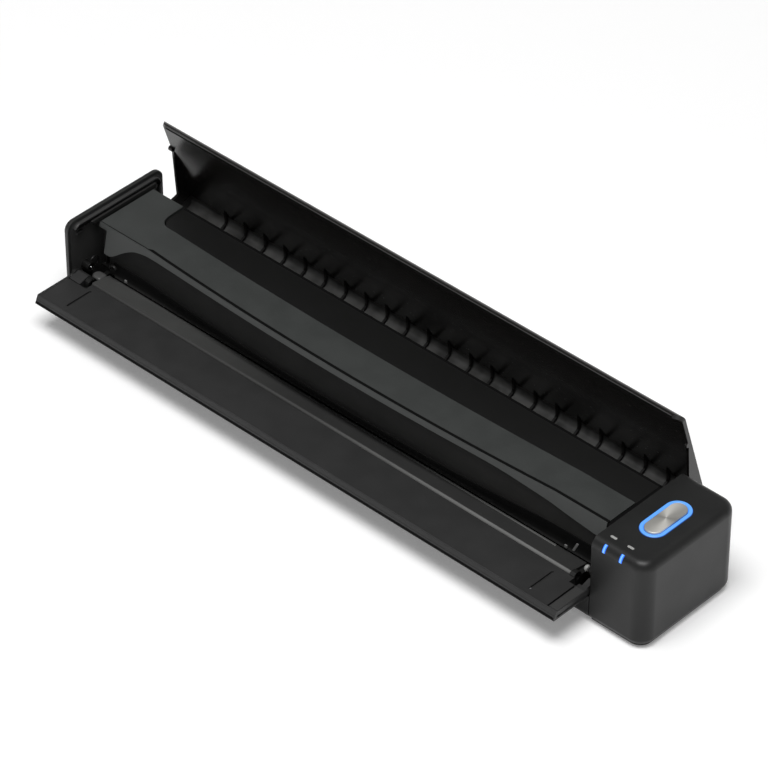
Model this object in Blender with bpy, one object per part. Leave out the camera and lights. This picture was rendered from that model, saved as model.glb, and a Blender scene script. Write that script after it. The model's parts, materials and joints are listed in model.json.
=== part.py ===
"""Portable sheet-fed document scanner with a fold-down feed guide and a lift-up output guide.

Lengths are in metres and angles in degrees. X runs from the end cap to the control block,
Y from front to back and Z up. Every piece is drawn with both guides shut, where their fits
are plain, and the pivots then turn the guides to the open pose in which the scanner is used.
"""
import math

import bmesh
import bpy
from mathutils import Matrix

# Whole body, with both guides shut
BODY_LENGTH = 0.273
BODY_DEPTH = 0.0475
BODY_HEIGHT = 0.036
BLOCK_WIDTH = 0.0233
TOP_FILLET = 0.0035
FOOT_FILLET = 0.0035
BLOCK_CORNER = 0.006
HOUSING_WALL = 0.0018
HOUSING_FOOT_SHARE = 0.8
FIT_GAP = 0.0003
RUN_GAP = 0.0002
OVERRUN = 0.002
ROUND_STEPS = 5

# End cap
CAP_WALL = 0.0022
CAP_CORNER = 0.0038
CAP_EDGE_ROUND = 0.001
CAP_BOSS_RADIUS = 0.0032
CAP_NUB_DROP = 0.006
CAP_NUB_SIZE = (0.0011, 0.003, 0.0009)

# Base tray
TRAY_WALL = 0.0016
TRAY_FLOOR = 0.002
TRAY_FRONT_DROP = 0.0028
TRAY_NOTCH_DROP = 0.0081
TRAY_LIP_ANGLE = 55.0
TRAY_END_TOP = 0.0055
BEARING_RIB_WIDTH = 0.002
BEARING_RIB_SETBACK = 0.0002
POST_RADIUS = 0.0022
BOARD_POST_SHARE = 0.75

# Feed guide, the flap along the front
FEED_HINGE_Y = 0.0024
FEED_HINGE_RISE = 0.0002
FEED_OPEN_ANGLE = 90.0
FEED_TOP_DROP = 0.0028
FEED_THICKNESS = 0.0034
FEED_SKIN = 0.0015
FEED_LIP_DROP = 0.0015
FEED_LIP_DEPTH = 0.0019
FEED_ROOT_LIFT = 0.0014
FEED_END = 0.001
FEED_KNUCKLE_RADIUS = 0.0022
FEED_KNUCKLE_WIDTH = 0.0022
FEED_ARM_RISE = 0.0012
FEED_END_LIFT = 0.0007
FEED_PIN_RADIUS = 0.001
FEED_PIN_REST = 0.0014
GUIDE_MARK_WIDTH = 0.0006
GUIDE_MARK_DEPTH = 0.0005
GUIDE_MARK_LENGTH = 0.0123
GUIDE_MARK_TOP = 0.0294
GUIDE_MARK_LEFT = 0.0147
GUIDE_MARK_RIGHT = 0.0145

# Output guide and the upper unit turn on one line at the back
COVER_HINGE_INSET = 0.0075
COVER_HINGE_RISE = 0.0046
OUTPUT_OPEN_ANGLE = 72.5
COVER_PIN_RADIUS = 0.0015
COVER_LUG_RADIUS = 0.0032
OUTPUT_SKIN = 0.0015
OUTPUT_REAR_FILLET = 0.004
OUTPUT_REAR_RISE = 0.0074
OUTPUT_TAB_DROP = 0.0021
OUTPUT_TAB_WIDTH = 0.0033
OUTPUT_LIP_TURN = 73.0
OUTPUT_END_GAP = 0.0003
GUSSET_WIDTH = 0.001
GUSSET_START = 0.0131
GUSSET_REAR_DROP = 0.0063
DETENT_Y = 0.016
DETENT_RADIUS = 0.001
DETENT_REACH = 0.0007
FIN_PITCH = 0.01
FIN_WIDTH = 0.001
FIN_START_GAP = 0.0095
FIN_ROUNDING_SHARE = 0.2
FIN_END_GAP = 0.0025
FIN_FRONT_INSET = 0.0115
FIN_HEIGHT = 0.0012
FIN_FOOT_RISE = 0.0012

# Upper unit
UNIT_LEFT = 0.007
UNIT_TOP_DROP = 0.0022
UNIT_END_GAP = 0.0019
COVER_SKIN = 0.0012
COVER_END_SHARE = 1.5
FRAME_FLOOR_RISE = 0.0013
FRAME_FLOOR = 0.0008
FRAME_FRONT_SHARE = 0.24
FRAME_REAR_SHARE = 0.7979
FRAME_WALL = 0.0012
FRAME_END = 0.0016
FRAME_TOP_DROP = 0.0019

# Front edge of the top cover, bowed forward in the middle
CREASE_MIDDLE_SHARE = 0.17053
CREASE_BOW = 0.0033
CREASE_CENTRE_SHARE = 0.5
CREASE_REACH_SHARE = 0.4
FACE_LEAN_SHARE = 0.25
GROOVE_SETBACK = 0.0003
GROOVE_WIDTH = 0.001
GROOVE_DEPTH = 0.0009
GROOVE_BACK_SHARE = 0.6
GROOVE_LEFT = 0.031
GROOVE_FADE = 0.0015
FACE_LEFT = 0.0112
CHEEK_DROP = 0.0105
MOUTH_STATION_SHARES = (
    (0.0, 0.0), (0.012, 0.0), (0.022, 0.12), (0.04, 0.42), (0.06, 0.65), (0.085, 0.75),
    (0.12, 0.79), (0.2, 0.81), (0.35, 0.815), (0.5, 0.815), (0.67, 0.815), (0.76, 0.815),
    (0.8, 0.79), (0.84, 0.72), (0.88, 0.63), (0.925, 0.51), (0.967, 0.43), (1.0, 0.37),
)

# Dark deck let into the rear of the top
DECK_LEFT = 0.0225
DECK_MIDDLE_SHARE = 0.4905
DECK_BOW = 0.0021
DECK_CORNER = 0.005
DECK_CORNER_SHARES = (0.12, 0.4, 1.0)
DECK_REAR_REACH = 0.0002
DECK_DROP = 0.0006
DECK_SKIN = 0.001

# Dark face of the paper mouth
MOUTH_SETBACK = 0.0017
MOUTH_WALL = 0.0011
MOUTH_BEND_SHARE = 0.45
MOUTH_BEND_RISE_SHARE = 1.3
MOUTH_KNEE_DROP = 0.0108
MOUTH_LOWER_RISE = 0.0055
MOUTH_TOP_DROP = 0.0024
MOUTH_LEFT = 0.0122
MOUTH_RIGHT_GAP = 0.0018

# Paper path: bed, rollers and their shafts
BED_TOP_SHARE = 0.36111
BED_THICKNESS_SHARE = 0.04444
BED_LEFT = 0.012
BED_RIGHT_GAP = 0.0101
BED_NOSE_RADIUS = 0.0011
BED_LIP_Y = 0.0101
BED_STEP_REAR = 0.0146
BED_STEP_DROP = 0.0007
BED_REAR_REACH = 0.0052
FEED_AXIS_SHARE = 0.32
FEED_TYRE_SHARE = 0.125
EJECT_AXIS_SHARE = 0.6779
EJECT_TYRE_SHARE = 0.11111
SHAFT_SHARE = 0.04167
SHAFT_END_GAP = 0.001
SHAFT_END_PAST_GEAR = 0.0006
TYRE_WIDTH = 0.012
TYRE_SHARES = (0.167, 0.387, 0.606, 0.826)
SLEEVE_WALL = 0.0003
SLEEVE_REACH = 0.012
BUSH_RADIUS = 0.0026
PINCH_RADIUS = 0.0026
PINCH_SHAFT_RADIUS = 0.0006
PINCH_WIDTH = 0.01
PINCH_NIP = 0.0004
SPRING_STRIP = 0.0003
SPRING_WIDTH = 0.006
SPRING_ARM = 0.0048
STRIP_FRONT_SHARE = 0.44
STRIP_REAR_SHARE = 0.5747
STRIP_THICKNESS = 0.0006
STRIP_END_INSET = 0.008

# Image sensor
SENSOR_FRONT_SHARE = 0.4147
SENSOR_REAR_SHARE = 0.5874
SENSOR_TOP_DROP = 0.0086
SENSOR_RISE = 0.0019
SENSOR_END_INSET = 0.012
GLASS_RISE = 0.0009
GLASS_INSET = 0.0004

# Electronics
BOARD = 0.0012
MAIN_BOARD_LEFT_SHARE = 0.33
MAIN_BOARD_LENGTH = 0.12
MAIN_BOARD_FRONT_SHARE = 0.27
MAIN_BOARD_DEPTH_SHARE = 0.43
STANDOFF_RADIUS = 0.0016
STANDOFF_HEIGHT = 0.0017
STANDOFF_INSET = 0.008
CHIP_HEIGHT = 0.0012
CHIP_SIZES = ((0.014, 0.012), (0.010, 0.009))
CHIP_PLACE_SHARES = ((0.3, 0.5), (0.68, 0.58))
BATTERY_LEFT_SHARE = 0.227
BATTERY_LENGTH_SHARE = 0.352
BATTERY_FRONT_SHARE = 0.445
BATTERY_DEPTH_SHARE = 0.125
BATTERY_HEIGHT_SHARE = 0.211
BATTERY_ROUND = 0.0012

# Control block
RING_X = 0.0113
RING_Y_SHARE = 0.5053
RING_LENGTH = 0.022
RING_WIDTH = 0.01
RING_BAND = 0.0012
RING_PROUD = 0.0003
RING_FLANGE = 0.001
RING_FLANGE_HEIGHT = 0.0009
BUTTON_PROUD = 0.0007
BUTTON_TRAVEL = 0.0005
BUTTON_FLANGE = 0.0008
BUTTON_FLANGE_HEIGHT = 0.001
BUTTON_DOME = 0.0004
PLUNGER_RADIUS = 0.0016
PLUNGER_HEIGHT = 0.0006
SWITCH_SIDE = 0.006
SWITCH_HEIGHT = 0.0018
BUTTON_BOARD_LEFT = 0.0079
BUTTON_BOARD_MARGIN = 0.0055
WINDOW_X = (0.0051, 0.0123)
WINDOW_WIDTH = 0.0013
WINDOW_DEPTH = 0.0014
WINDOW_START = 119.0
WINDOW_END = 178.0

# Gear train and motor
MODULE_SPAN_SHARE = 0.0475
MODULE_HEIGHT_SHARE = 0.022222
ROLLER_TEETH = 12
IDLER_TEETH = 20
PINION_TEETH = 8
ADDENDUM_SHARE = 0.75
DEDENDUM_SHARE = 1.05
TOOTH_ROOT_SHARE = 0.28
TOOTH_TIP_SHARE = 0.12
GEAR_WIDTH = 0.003
GEAR_X = 0.0034
PINION_DIRECTION = 170.0
STUD_RADIUS = 0.0012
BRACKET_PLATE = 0.0012
BRACKET_FRONT = 0.0068
BRACKET_REAR_SHARE = 0.695
BRACKET_TOP_DROP = 0.0098
BRACKET_FOOT = 0.011
MOTOR_RADIUS_SHARE = 7.25
MOTOR_LENGTH = 0.0115
MOTOR_BOSS_RADIUS = 0.0018
MOTOR_BOSS_LENGTH = 0.0006
MOTOR_SHAFT_RADIUS = 0.0008
MOTOR_SHAFT_SEAT = 0.002

# Charging socket on the back of the control block
SOCKET_X = 0.0108
SOCKET_Z = 0.0093
SOCKET_WIDTH = 0.0076
SOCKET_HEIGHT = 0.0028
SOCKET_DEPTH = 0.0068
SOCKET_SHEET = 0.0004
TONGUE_HEIGHT = 0.0006
TONGUE_INSET = 0.0012
IO_BOARD_LEFT = 0.0073
IO_BOARD_LENGTH = 0.0074
IO_POST_SHARES = (0.25, 0.75)
IO_BOARD_DEPTH = 0.0092

# Small parts in the tray
COVER_SWITCH_INSET = 0.0106
COVER_SWITCH_SIZE = (0.007, 0.0035, 0.0055)
PAPER_SENSOR_SHARE = 0.4965
PAPER_SENSOR_SIZE = (0.005, 0.0032, 0.003)
PAPER_SENSOR_Y = 0.0052

# Fasteners and feet
SCREW_RADIUS = 0.0009
SCREW_HEAD_RADIUS = 0.0015
SCREW_HEAD_HEIGHT = 0.0008
SCREW_SINK = 0.0001
SCREW_REACH = 0.006
BED_SCREW_INSETS = (0.018, 0.0216)
BED_SCREW_SHARES = (0.126, 0.505)
BLOCK_SCREW_X = 0.0172
BLOCK_SCREW_MARGIN = 0.0043
BLOCK_POST_RADIUS = 0.0019
FOOT_LENGTH = 0.014
FOOT_WIDTH = 0.006
FOOT_DROP = 0.0006
FOOT_SINK = 0.0005
FOOT_INSETS = (0.022, 0.037)
FOOT_Y_INSET = 0.0105

# Places that follow from the sizes
BLOCK_X = BODY_LENGTH - BLOCK_WIDTH
SPAN_LEFT = CAP_WALL + FIT_GAP
SPAN_RIGHT = BLOCK_X - FIT_GAP
BED_TOP = BODY_HEIGHT * BED_TOP_SHARE
BED_THICKNESS = BODY_HEIGHT * BED_THICKNESS_SHARE
BED_LOW = BED_TOP - BED_THICKNESS
BED_RIGHT = BLOCK_X - BED_RIGHT_GAP
FEED_HINGE_Z = BED_TOP + FEED_HINGE_RISE
FEED_TOP = BODY_HEIGHT - FEED_TOP_DROP
COVER_HINGE_Y = BODY_DEPTH - COVER_HINGE_INSET
COVER_HINGE_Z = BED_TOP + COVER_HINGE_RISE
TRAY_FRONT_TOP = FEED_HINGE_Z - TRAY_FRONT_DROP
TRAY_NOTCH_Z = COVER_HINGE_Z - TRAY_NOTCH_DROP
RIB_LEFT = BED_LEFT - FIT_GAP * 2 - BEARING_RIB_WIDTH
RIB_RIGHT = BED_RIGHT + FIT_GAP * 2
UNIT_RIGHT = BLOCK_X - UNIT_END_GAP
UNIT_TOP = BODY_HEIGHT - UNIT_TOP_DROP
OUTPUT_LEFT = UNIT_LEFT - OUTPUT_END_GAP - GUSSET_WIDTH
OUTPUT_RIGHT = UNIT_RIGHT + FIT_GAP + GUSSET_WIDTH
OUTPUT_REAR_END = COVER_HINGE_Z + OUTPUT_REAR_RISE
OUTPUT_TAB_END = COVER_HINGE_Z - OUTPUT_TAB_DROP
TAB_LEFT = OUTPUT_LEFT + OUTPUT_TAB_WIDTH
TAB_RIGHT = OUTPUT_RIGHT - OUTPUT_TAB_WIDTH
SHELL_TOP_INNER = BODY_HEIGHT - OUTPUT_SKIN
FIN_FRONT = BODY_DEPTH - FIN_FRONT_INSET
FIN_FOOT = OUTPUT_REAR_END + FIN_FOOT_RISE
FRAME_FLOOR_LOW = BED_TOP + FRAME_FLOOR_RISE
FRAME_FLOOR_TOP = FRAME_FLOOR_LOW + FRAME_FLOOR
FRAME_FRONT = BODY_DEPTH * FRAME_FRONT_SHARE
FRAME_REAR = BODY_DEPTH * FRAME_REAR_SHARE
FRAME_TOP = UNIT_TOP - FRAME_TOP_DROP
CREASE_MIDDLE_Y = BODY_DEPTH * CREASE_MIDDLE_SHARE
DECK_MIDDLE_Y = BODY_DEPTH * DECK_MIDDLE_SHARE
DECK_REAR = FRAME_REAR + DECK_REAR_REACH
MOUTH_KNEE = UNIT_TOP - MOUTH_KNEE_DROP
MOUTH_LOWER = BED_TOP + MOUTH_LOWER_RISE
MOUTH_TOP = UNIT_TOP - MOUTH_TOP_DROP
FEED_AXIS_Y = BODY_DEPTH * FEED_AXIS_SHARE
EJECT_AXIS_Y = BODY_DEPTH * EJECT_AXIS_SHARE
BED_REAR = EJECT_AXIS_Y + BED_REAR_REACH
BEARING_RIB_REAR = BED_REAR - BEARING_RIB_SETBACK
SHAFT_RADIUS = BODY_HEIGHT * SHAFT_SHARE
FEED_TYRE_RADIUS = BODY_HEIGHT * FEED_TYRE_SHARE
EJECT_TYRE_RADIUS = BODY_HEIGHT * EJECT_TYRE_SHARE
FEED_AXIS_Z = BED_TOP - FEED_TYRE_RADIUS
EJECT_AXIS_Z = BED_TOP - EJECT_TYRE_RADIUS
PINCH_Z = BED_TOP + PINCH_NIP + PINCH_RADIUS
STRIP_FRONT = BODY_DEPTH * STRIP_FRONT_SHARE
STRIP_REAR = BODY_DEPTH * STRIP_REAR_SHARE
SENSOR_FRONT = BODY_DEPTH * SENSOR_FRONT_SHARE
SENSOR_REAR = BODY_DEPTH * SENSOR_REAR_SHARE
SENSOR_TOP = UNIT_TOP - SENSOR_TOP_DROP
SENSOR_LOW = BED_TOP + SENSOR_RISE
GLASS_LOW = BED_TOP + GLASS_RISE
MAIN_BOARD_LEFT = BODY_LENGTH * MAIN_BOARD_LEFT_SHARE
MAIN_BOARD_FRONT = BODY_DEPTH * MAIN_BOARD_FRONT_SHARE
MAIN_BOARD_DEPTH = BODY_DEPTH * MAIN_BOARD_DEPTH_SHARE
BATTERY_LEFT = BODY_LENGTH * BATTERY_LEFT_SHARE
BATTERY_LENGTH = BODY_LENGTH * BATTERY_LENGTH_SHARE
BATTERY_FRONT = BODY_DEPTH * BATTERY_FRONT_SHARE
BATTERY_DEPTH = BODY_DEPTH * BATTERY_DEPTH_SHARE
BATTERY_HEIGHT = BODY_HEIGHT * BATTERY_HEIGHT_SHARE
COVER_SWITCH_X = BED_RIGHT - COVER_SWITCH_INSET
PAPER_SENSOR_X = BED_LEFT + (BED_RIGHT - BED_LEFT) * PAPER_SENSOR_SHARE
SHAFT_LEFT = RIB_LEFT - SHAFT_END_GAP
GEAR_MODULE = min((EJECT_AXIS_Y - FEED_AXIS_Y) * MODULE_SPAN_SHARE, BODY_HEIGHT * MODULE_HEIGHT_SHARE)
GEAR_LEFT = BLOCK_X + GEAR_X
GEAR_RIGHT = GEAR_LEFT + GEAR_WIDTH
SHAFT_RIGHT = GEAR_RIGHT + SHAFT_END_PAST_GEAR
BRACKET_X = SHAFT_RIGHT + FIT_GAP * 2
BRACKET_REAR = BODY_DEPTH * BRACKET_REAR_SHARE
BRACKET_TOP = BODY_HEIGHT - BRACKET_TOP_DROP
MOTOR_X = BRACKET_X + BRACKET_PLATE + FIT_GAP
MOTOR_RADIUS = GEAR_MODULE * MOTOR_RADIUS_SHARE
RING_Y = BODY_DEPTH * RING_Y_SHARE
BLOCK_TOP_INNER = BODY_HEIGHT - HOUSING_WALL
RING_FLANGE_LOW = BLOCK_TOP_INNER - FIT_GAP - RING_FLANGE_HEIGHT
BUTTON_LOW = RING_FLANGE_LOW - FIT_GAP - BUTTON_FLANGE_HEIGHT
SWITCH_TOP = BUTTON_LOW - FIT_GAP - BUTTON_TRAVEL
BUTTON_BOARD_TOP = SWITCH_TOP - PLUNGER_HEIGHT - SWITCH_HEIGHT - FIT_GAP


def turned(point, centre, angle):
    """A point (y, z) turned about a centre by an angle, positive from +Y towards +Z."""
    a = math.radians(angle)
    dy = point[0] - centre[0]
    dz = point[1] - centre[1]
    return (centre[0] + dy * math.cos(a) - dz * math.sin(a), centre[1] + dy * math.sin(a) + dz * math.cos(a))


def arc(centre_u, centre_v, radius, start, end, steps=ROUND_STEPS):
    """Points on a circle from one angle to another, both ends included."""
    points = []
    for i in range(steps + 1):
        a = math.radians(start + (end - start) * i / steps)
        points.append((centre_u + radius * math.cos(a), centre_v + radius * math.sin(a)))
    return points


def circle(centre_u, centre_v, radius, sides=16):
    """A whole circle, without its doubled last point."""
    return arc(centre_u, centre_v, radius, 0.0, 360.0, sides)[:-1]


def rectangle(low_u, high_u, low_v, high_v):
    return [(low_u, low_v), (high_u, low_v), (high_u, high_v), (low_u, high_v)]


def stadium(centre_u, centre_v, width, length, steps=8):
    """A slot outline, round at both ends, longer along v."""
    radius = width / 2
    reach = length / 2 - radius
    top = arc(centre_u, centre_v + reach, radius, 0.0, 180.0, steps)
    return top + arc(centre_u, centre_v - reach, radius, 180.0, 360.0, steps)


def loft(rings):
    """A closed solid through rings that have the same number of points."""
    count = len(rings[0])
    points = [point for ring in rings for point in ring]
    faces = [tuple(range(count)), tuple(range(len(points) - count, len(points)))]
    for ring in range(len(rings) - 1):
        start = ring * count
        for i in range(count):
            after = (i + 1) % count
            faces.append((start + i, start + after, start + count + after, start + count + i))
    return points, faces


def section(outline, place, axis):
    """An outline set square to an axis at a place along it."""
    if axis == "x":
        return [(place, u, v) for u, v in outline]
    if axis == "y":
        return [(u, place, v) for u, v in outline]
    return [(u, v, place) for u, v in outline]


def prism(outline, low, high, axis="x"):
    return loft([section(outline, low, axis), section(outline, high, axis)])


def box(low_x, high_x, low_y, high_y, low_z, high_z):
    return prism(rectangle(low_y, high_y, low_z, high_z), low_x, high_x)


def sleeve(centre_u, centre_v, bore, steps, sides=16):
    """A turned sleeve along X: an outer skin of (radius, place) steps, both rims and a bore."""
    rings = [section(circle(centre_u, centre_v, radius, sides), place, "x") for radius, place in steps]
    for place in (steps[-1][1], steps[0][1]):
        rings.append(section(circle(centre_u, centre_v, bore, sides), place, "x"))
    points, faces = loft(rings)
    faces = faces[2:]
    last = len(points) - sides
    for i in range(sides):
        after = (i + 1) % sides
        faces.append((last + i, last + after, after, i))
    return points, faces


def stepped(core, radius, width, low, high):
    """Steps of a roller: a thin core with a wider drum at each of the roller's places."""
    steps = [(core, low)]
    for x in tyre_places():
        steps += [(core, x - width / 2), (radius, x - width / 2)]
        steps += [(radius, x + width / 2), (core, x + width / 2)]
    return steps + [(core, high)]


class Body:
    """One rigid body: an empty on its joint's axis, which carries the body's pieces."""

    def __init__(self, name, origin, place=(0.0, 0.0, 0.0), turn=0.0):
        self.place = place
        self.pivot = bpy.data.objects.new(name + "_pivot", None)
        bpy.context.scene.collection.objects.link(self.pivot)
        self.pivot.parent = origin
        self.pivot.location = place
        self.pivot.rotation_euler.x = math.radians(turn)

    def mesh_object(self, name, shapes):
        mesh = bmesh.new()
        for points, faces in shapes:
            corners = [mesh.verts.new(point) for point in points]
            for face in faces:
                mesh.faces.new([corners[i] for i in face])
        bmesh.ops.recalc_face_normals(mesh, faces=mesh.faces)
        data = bpy.data.meshes.new(name)
        mesh.to_mesh(data)
        mesh.free()
        data.transform(Matrix.Translation([-c for c in self.place]))
        item = bpy.data.objects.new(name, data)
        bpy.context.scene.collection.objects.link(item)
        item.parent = self.pivot
        return item

    def piece(self, name, finish, shape):
        """A named sub-part, which starts as one closed solid."""
        item = self.mesh_object(name, [shape])
        item.data.materials.append(finish)
        item.data.shade_smooth()
        item.data.set_sharp_from_angle(angle=math.radians(35.0))
        return item

    def copies(self, name, finish, shapes):
        """Like pieces, each an object of its own."""
        for number, shape in enumerate(shapes, 1):
            self.piece(f"{name}_{number}", finish, shape)

    def shape_with(self, item, operation, shapes):
        tool = self.mesh_object(f"{item.name}_tool_{len(item.modifiers)}", shapes)
        tool.hide_render = True
        tool.display_type = "WIRE"
        change = item.modifiers.new(operation.title(), "BOOLEAN")
        change.operation = operation
        change.solver = "EXACT"
        change.object = tool

    def fuse(self, item, *shapes):
        self.shape_with(item, "UNION", shapes)

    def cut(self, item, *shapes):
        self.shape_with(item, "DIFFERENCE", shapes)


def finish(name, colour, roughness, metallic=0.0, alpha=1.0, glow=None):
    """A plain material: colour, roughness and metallic value."""
    made = bpy.data.materials.new(name)
    made.use_nodes = True
    shader = made.node_tree.nodes["Principled BSDF"]
    shader.inputs["Base Color"].default_value = (*colour, 1.0)
    shader.inputs["Roughness"].default_value = roughness
    shader.inputs["Metallic"].default_value = metallic
    shader.inputs["Alpha"].default_value = alpha
    if glow:
        shader.inputs["Emission Color"].default_value = (*glow, 1.0)
        shader.inputs["Emission Strength"].default_value = 1.0
    return made


def length_share(x):
    """Where a place lies along the upper unit, from 0 at its left end to 1 at its right."""
    return (x - UNIT_LEFT) / (UNIT_RIGHT - UNIT_LEFT)


def bow(x):
    """How far the front lines of the top fall back from their middle, from 0 to 1."""
    away = abs(length_share(x) - CREASE_CENTRE_SHARE) / CREASE_REACH_SHARE
    return min(away, 1.0) ** 2


def crease_y(x):
    return CREASE_MIDDLE_Y + CREASE_BOW * bow(x)


def face_y(x, z):
    """The leaning front face under the crease."""
    return crease_y(x) - FACE_LEAN_SHARE * (UNIT_TOP - z)


def deck_front_y(x):
    return DECK_MIDDLE_Y + DECK_BOW * bow(x)


def mouth_top_z(x):
    """Lower edge of the lip over the mouth: a table of places joined by straight runs."""
    share = (x - FACE_LEFT) / (UNIT_RIGHT - FACE_LEFT)
    low = UNIT_TOP - CHEEK_DROP
    for (s0, h0), (s1, h1) in zip(MOUTH_STATION_SHARES, MOUTH_STATION_SHARES[1:]):
        if share <= s1:
            height = h0 + (h1 - h0) * (share - s0) / (s1 - s0)
            return low + CHEEK_DROP * height
    return low + CHEEK_DROP * MOUTH_STATION_SHARES[-1][1]


def rounded_profile(low_u, high_u, low_v, high_v, top_radius, low_radius, steps=ROUND_STEPS):
    """A rectangle with its two upper and its two lower corners rounded."""
    points = arc(high_u - low_radius, low_v + low_radius, low_radius, -90.0, 0.0, steps)
    points += arc(high_u - top_radius, high_v - top_radius, top_radius, 0.0, 90.0, steps)
    points += arc(low_u + top_radius, high_v - top_radius, top_radius, 90.0, 180.0, steps)
    return points + arc(low_u + low_radius, low_v + low_radius, low_radius, 180.0, 270.0, steps)


def block_plan(inset, left):
    """The control block seen from above: square at the left, round at its two outer corners."""
    right = BODY_LENGTH - inset
    front = inset
    rear = BODY_DEPTH - inset
    radius = BLOCK_CORNER - inset
    points = [(left, front)]
    points += arc(right - radius, front + radius, radius, -90.0, 0.0)
    points += arc(right - radius, rear - radius, radius, 0.0, 90.0)
    points.append((left, rear))
    return points


def base_tray(body, plastic):
    """The bottom tub: front wall, rear wall with a lip round the hinge line, floor and ribs."""
    wall = TRAY_WALL
    outline = [(0.0, TRAY_FRONT_TOP)]
    outline += arc(FOOT_FILLET, FOOT_FILLET, FOOT_FILLET, 180.0, 270.0)
    outline += arc(BODY_DEPTH - FOOT_FILLET, FOOT_FILLET, FOOT_FILLET, 270.0, 360.0)
    lip = BODY_DEPTH - COVER_HINGE_Y
    outline += arc(COVER_HINGE_Y, COVER_HINGE_Z, lip, 0.0, TRAY_LIP_ANGLE)
    outline += arc(COVER_HINGE_Y, COVER_HINGE_Z, lip - wall, TRAY_LIP_ANGLE, 0.0)
    inner = FOOT_FILLET - wall
    outline += arc(BODY_DEPTH - wall - inner, TRAY_FLOOR + inner, inner, 0.0, -90.0)
    outline += arc(wall + inner, TRAY_FLOOR + inner, inner, 270.0, 180.0)
    outline.append((wall, TRAY_FRONT_TOP))
    tray = body.piece("base_tray", plastic, prism(outline, SPAN_LEFT, SPAN_RIGHT))
    nose = FEED_KNUCKLE_RADIUS
    rib = [(FEED_HINGE_Y - nose, TRAY_FLOOR - wall / 2), (BEARING_RIB_REAR, TRAY_FLOOR - wall / 2)]
    rib += [(BEARING_RIB_REAR, BED_TOP)]
    rib += arc(FEED_HINGE_Y, FEED_HINGE_Z, nose, 0.0, 180.0)
    ribs = [prism(rib, x, x + BEARING_RIB_WIDTH) for x in (RIB_LEFT, RIB_RIGHT)]
    end_low = TRAY_FLOOR - wall / 2
    end_front = wall / 2
    end_rear = BODY_DEPTH - wall / 2
    ends = []
    for x in (SPAN_LEFT + wall / 2, SPAN_RIGHT - wall):
        ends.append(box(x - wall / 2, x + wall / 2, end_front, end_rear, end_low, TRAY_END_TOP))
    plate_front = HOUSING_WALL + FIT_GAP
    plate_rear = BODY_DEPTH - HOUSING_WALL - FIT_GAP
    corner = BLOCK_CORNER - HOUSING_WALL - FIT_GAP
    plate_right = BODY_LENGTH - HOUSING_WALL - FIT_GAP
    under = [(SPAN_RIGHT - wall / 2, plate_front)]
    under += arc(plate_right - corner, plate_front + corner, corner, -90.0, 0.0)
    under += arc(plate_right - corner, plate_rear - corner, corner, 0.0, 90.0)
    under.append((SPAN_RIGHT - wall / 2, plate_rear))
    floor = prism(under, FIT_GAP, TRAY_FLOOR, "z")
    body.fuse(tray, *ribs)
    body.fuse(tray, *ends)
    body.fuse(tray, floor)
    board_low = SOCKET_Z - SOCKET_HEIGHT / 2 - FIT_GAP - BOARD
    posts = []
    for share in IO_POST_SHARES:
        x = BLOCK_X + IO_BOARD_LEFT + IO_BOARD_LENGTH * share
        y = BODY_DEPTH - HOUSING_WALL - IO_BOARD_DEPTH / 2
        ring = circle(x, y, POST_RADIUS / 2, 10)
        posts.append(prism(ring, TRAY_FLOOR - wall / 2, board_low - FIT_GAP, "z"))
    body.fuse(tray, *posts)
    notches = []
    notch_top = COVER_HINGE_Z + lip + OVERRUN
    for ends in ((SPAN_LEFT - OVERRUN, TAB_LEFT + FIT_GAP), (TAB_RIGHT - FIT_GAP, SPAN_RIGHT + OVERRUN)):
        notches.append(box(*ends, COVER_HINGE_Y, BODY_DEPTH + OVERRUN, TRAY_NOTCH_Z, notch_top))
    body.cut(tray, *notches)
    bores = []
    for x in (RIB_LEFT, RIB_RIGHT):
        for y, z in ((FEED_AXIS_Y, FEED_AXIS_Z), (EJECT_AXIS_Y, EJECT_AXIS_Z)):
            ring = circle(y, z, BUSH_RADIUS + FIT_GAP)
            bores.append(prism(ring, x - OVERRUN, x + BEARING_RIB_WIDTH + OVERRUN))
        ring = circle(FEED_HINGE_Y, FEED_HINGE_Z, FEED_PIN_RADIUS + FIT_GAP)
        bores.append(prism(ring, x - OVERRUN, x + BEARING_RIB_WIDTH + OVERRUN))
    body.cut(tray, *bores)
    body.cut(tray, *foot_shapes(FIT_GAP), *screw_shapes(FIT_GAP))
    return tray


def screw_places():
    """Six screws from below: four hold the bed and two the control block."""
    ends = (BED_LEFT + BED_SCREW_INSETS[0], BED_RIGHT - BED_SCREW_INSETS[1])
    places = [(x, BODY_DEPTH * share) for x in ends for share in BED_SCREW_SHARES]
    x = BLOCK_X + BLOCK_SCREW_X
    return places + [(x, BLOCK_SCREW_MARGIN), (x, BODY_DEPTH - BLOCK_SCREW_MARGIN)]


def screw_shapes(room):
    """Screws, or with some room around them the holes that they sit in."""
    shapes = []
    head_low = SCREW_SINK + FIT_GAP
    start = head_low - OVERRUN if room else head_low
    head_top = head_low + SCREW_HEAD_HEIGHT
    for x, y in screw_places():
        head = circle(x, y, SCREW_HEAD_RADIUS + room, 12)
        shank = circle(x, y, SCREW_RADIUS + room, 12)
        rings = [section(head, start, "z"), section(head, head_top + room, "z")]
        rings += [section(shank, head_top + room, "z"), section(shank, head_top + SCREW_REACH + room, "z")]
        shapes.append(loft(rings))
    return shapes


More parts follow.
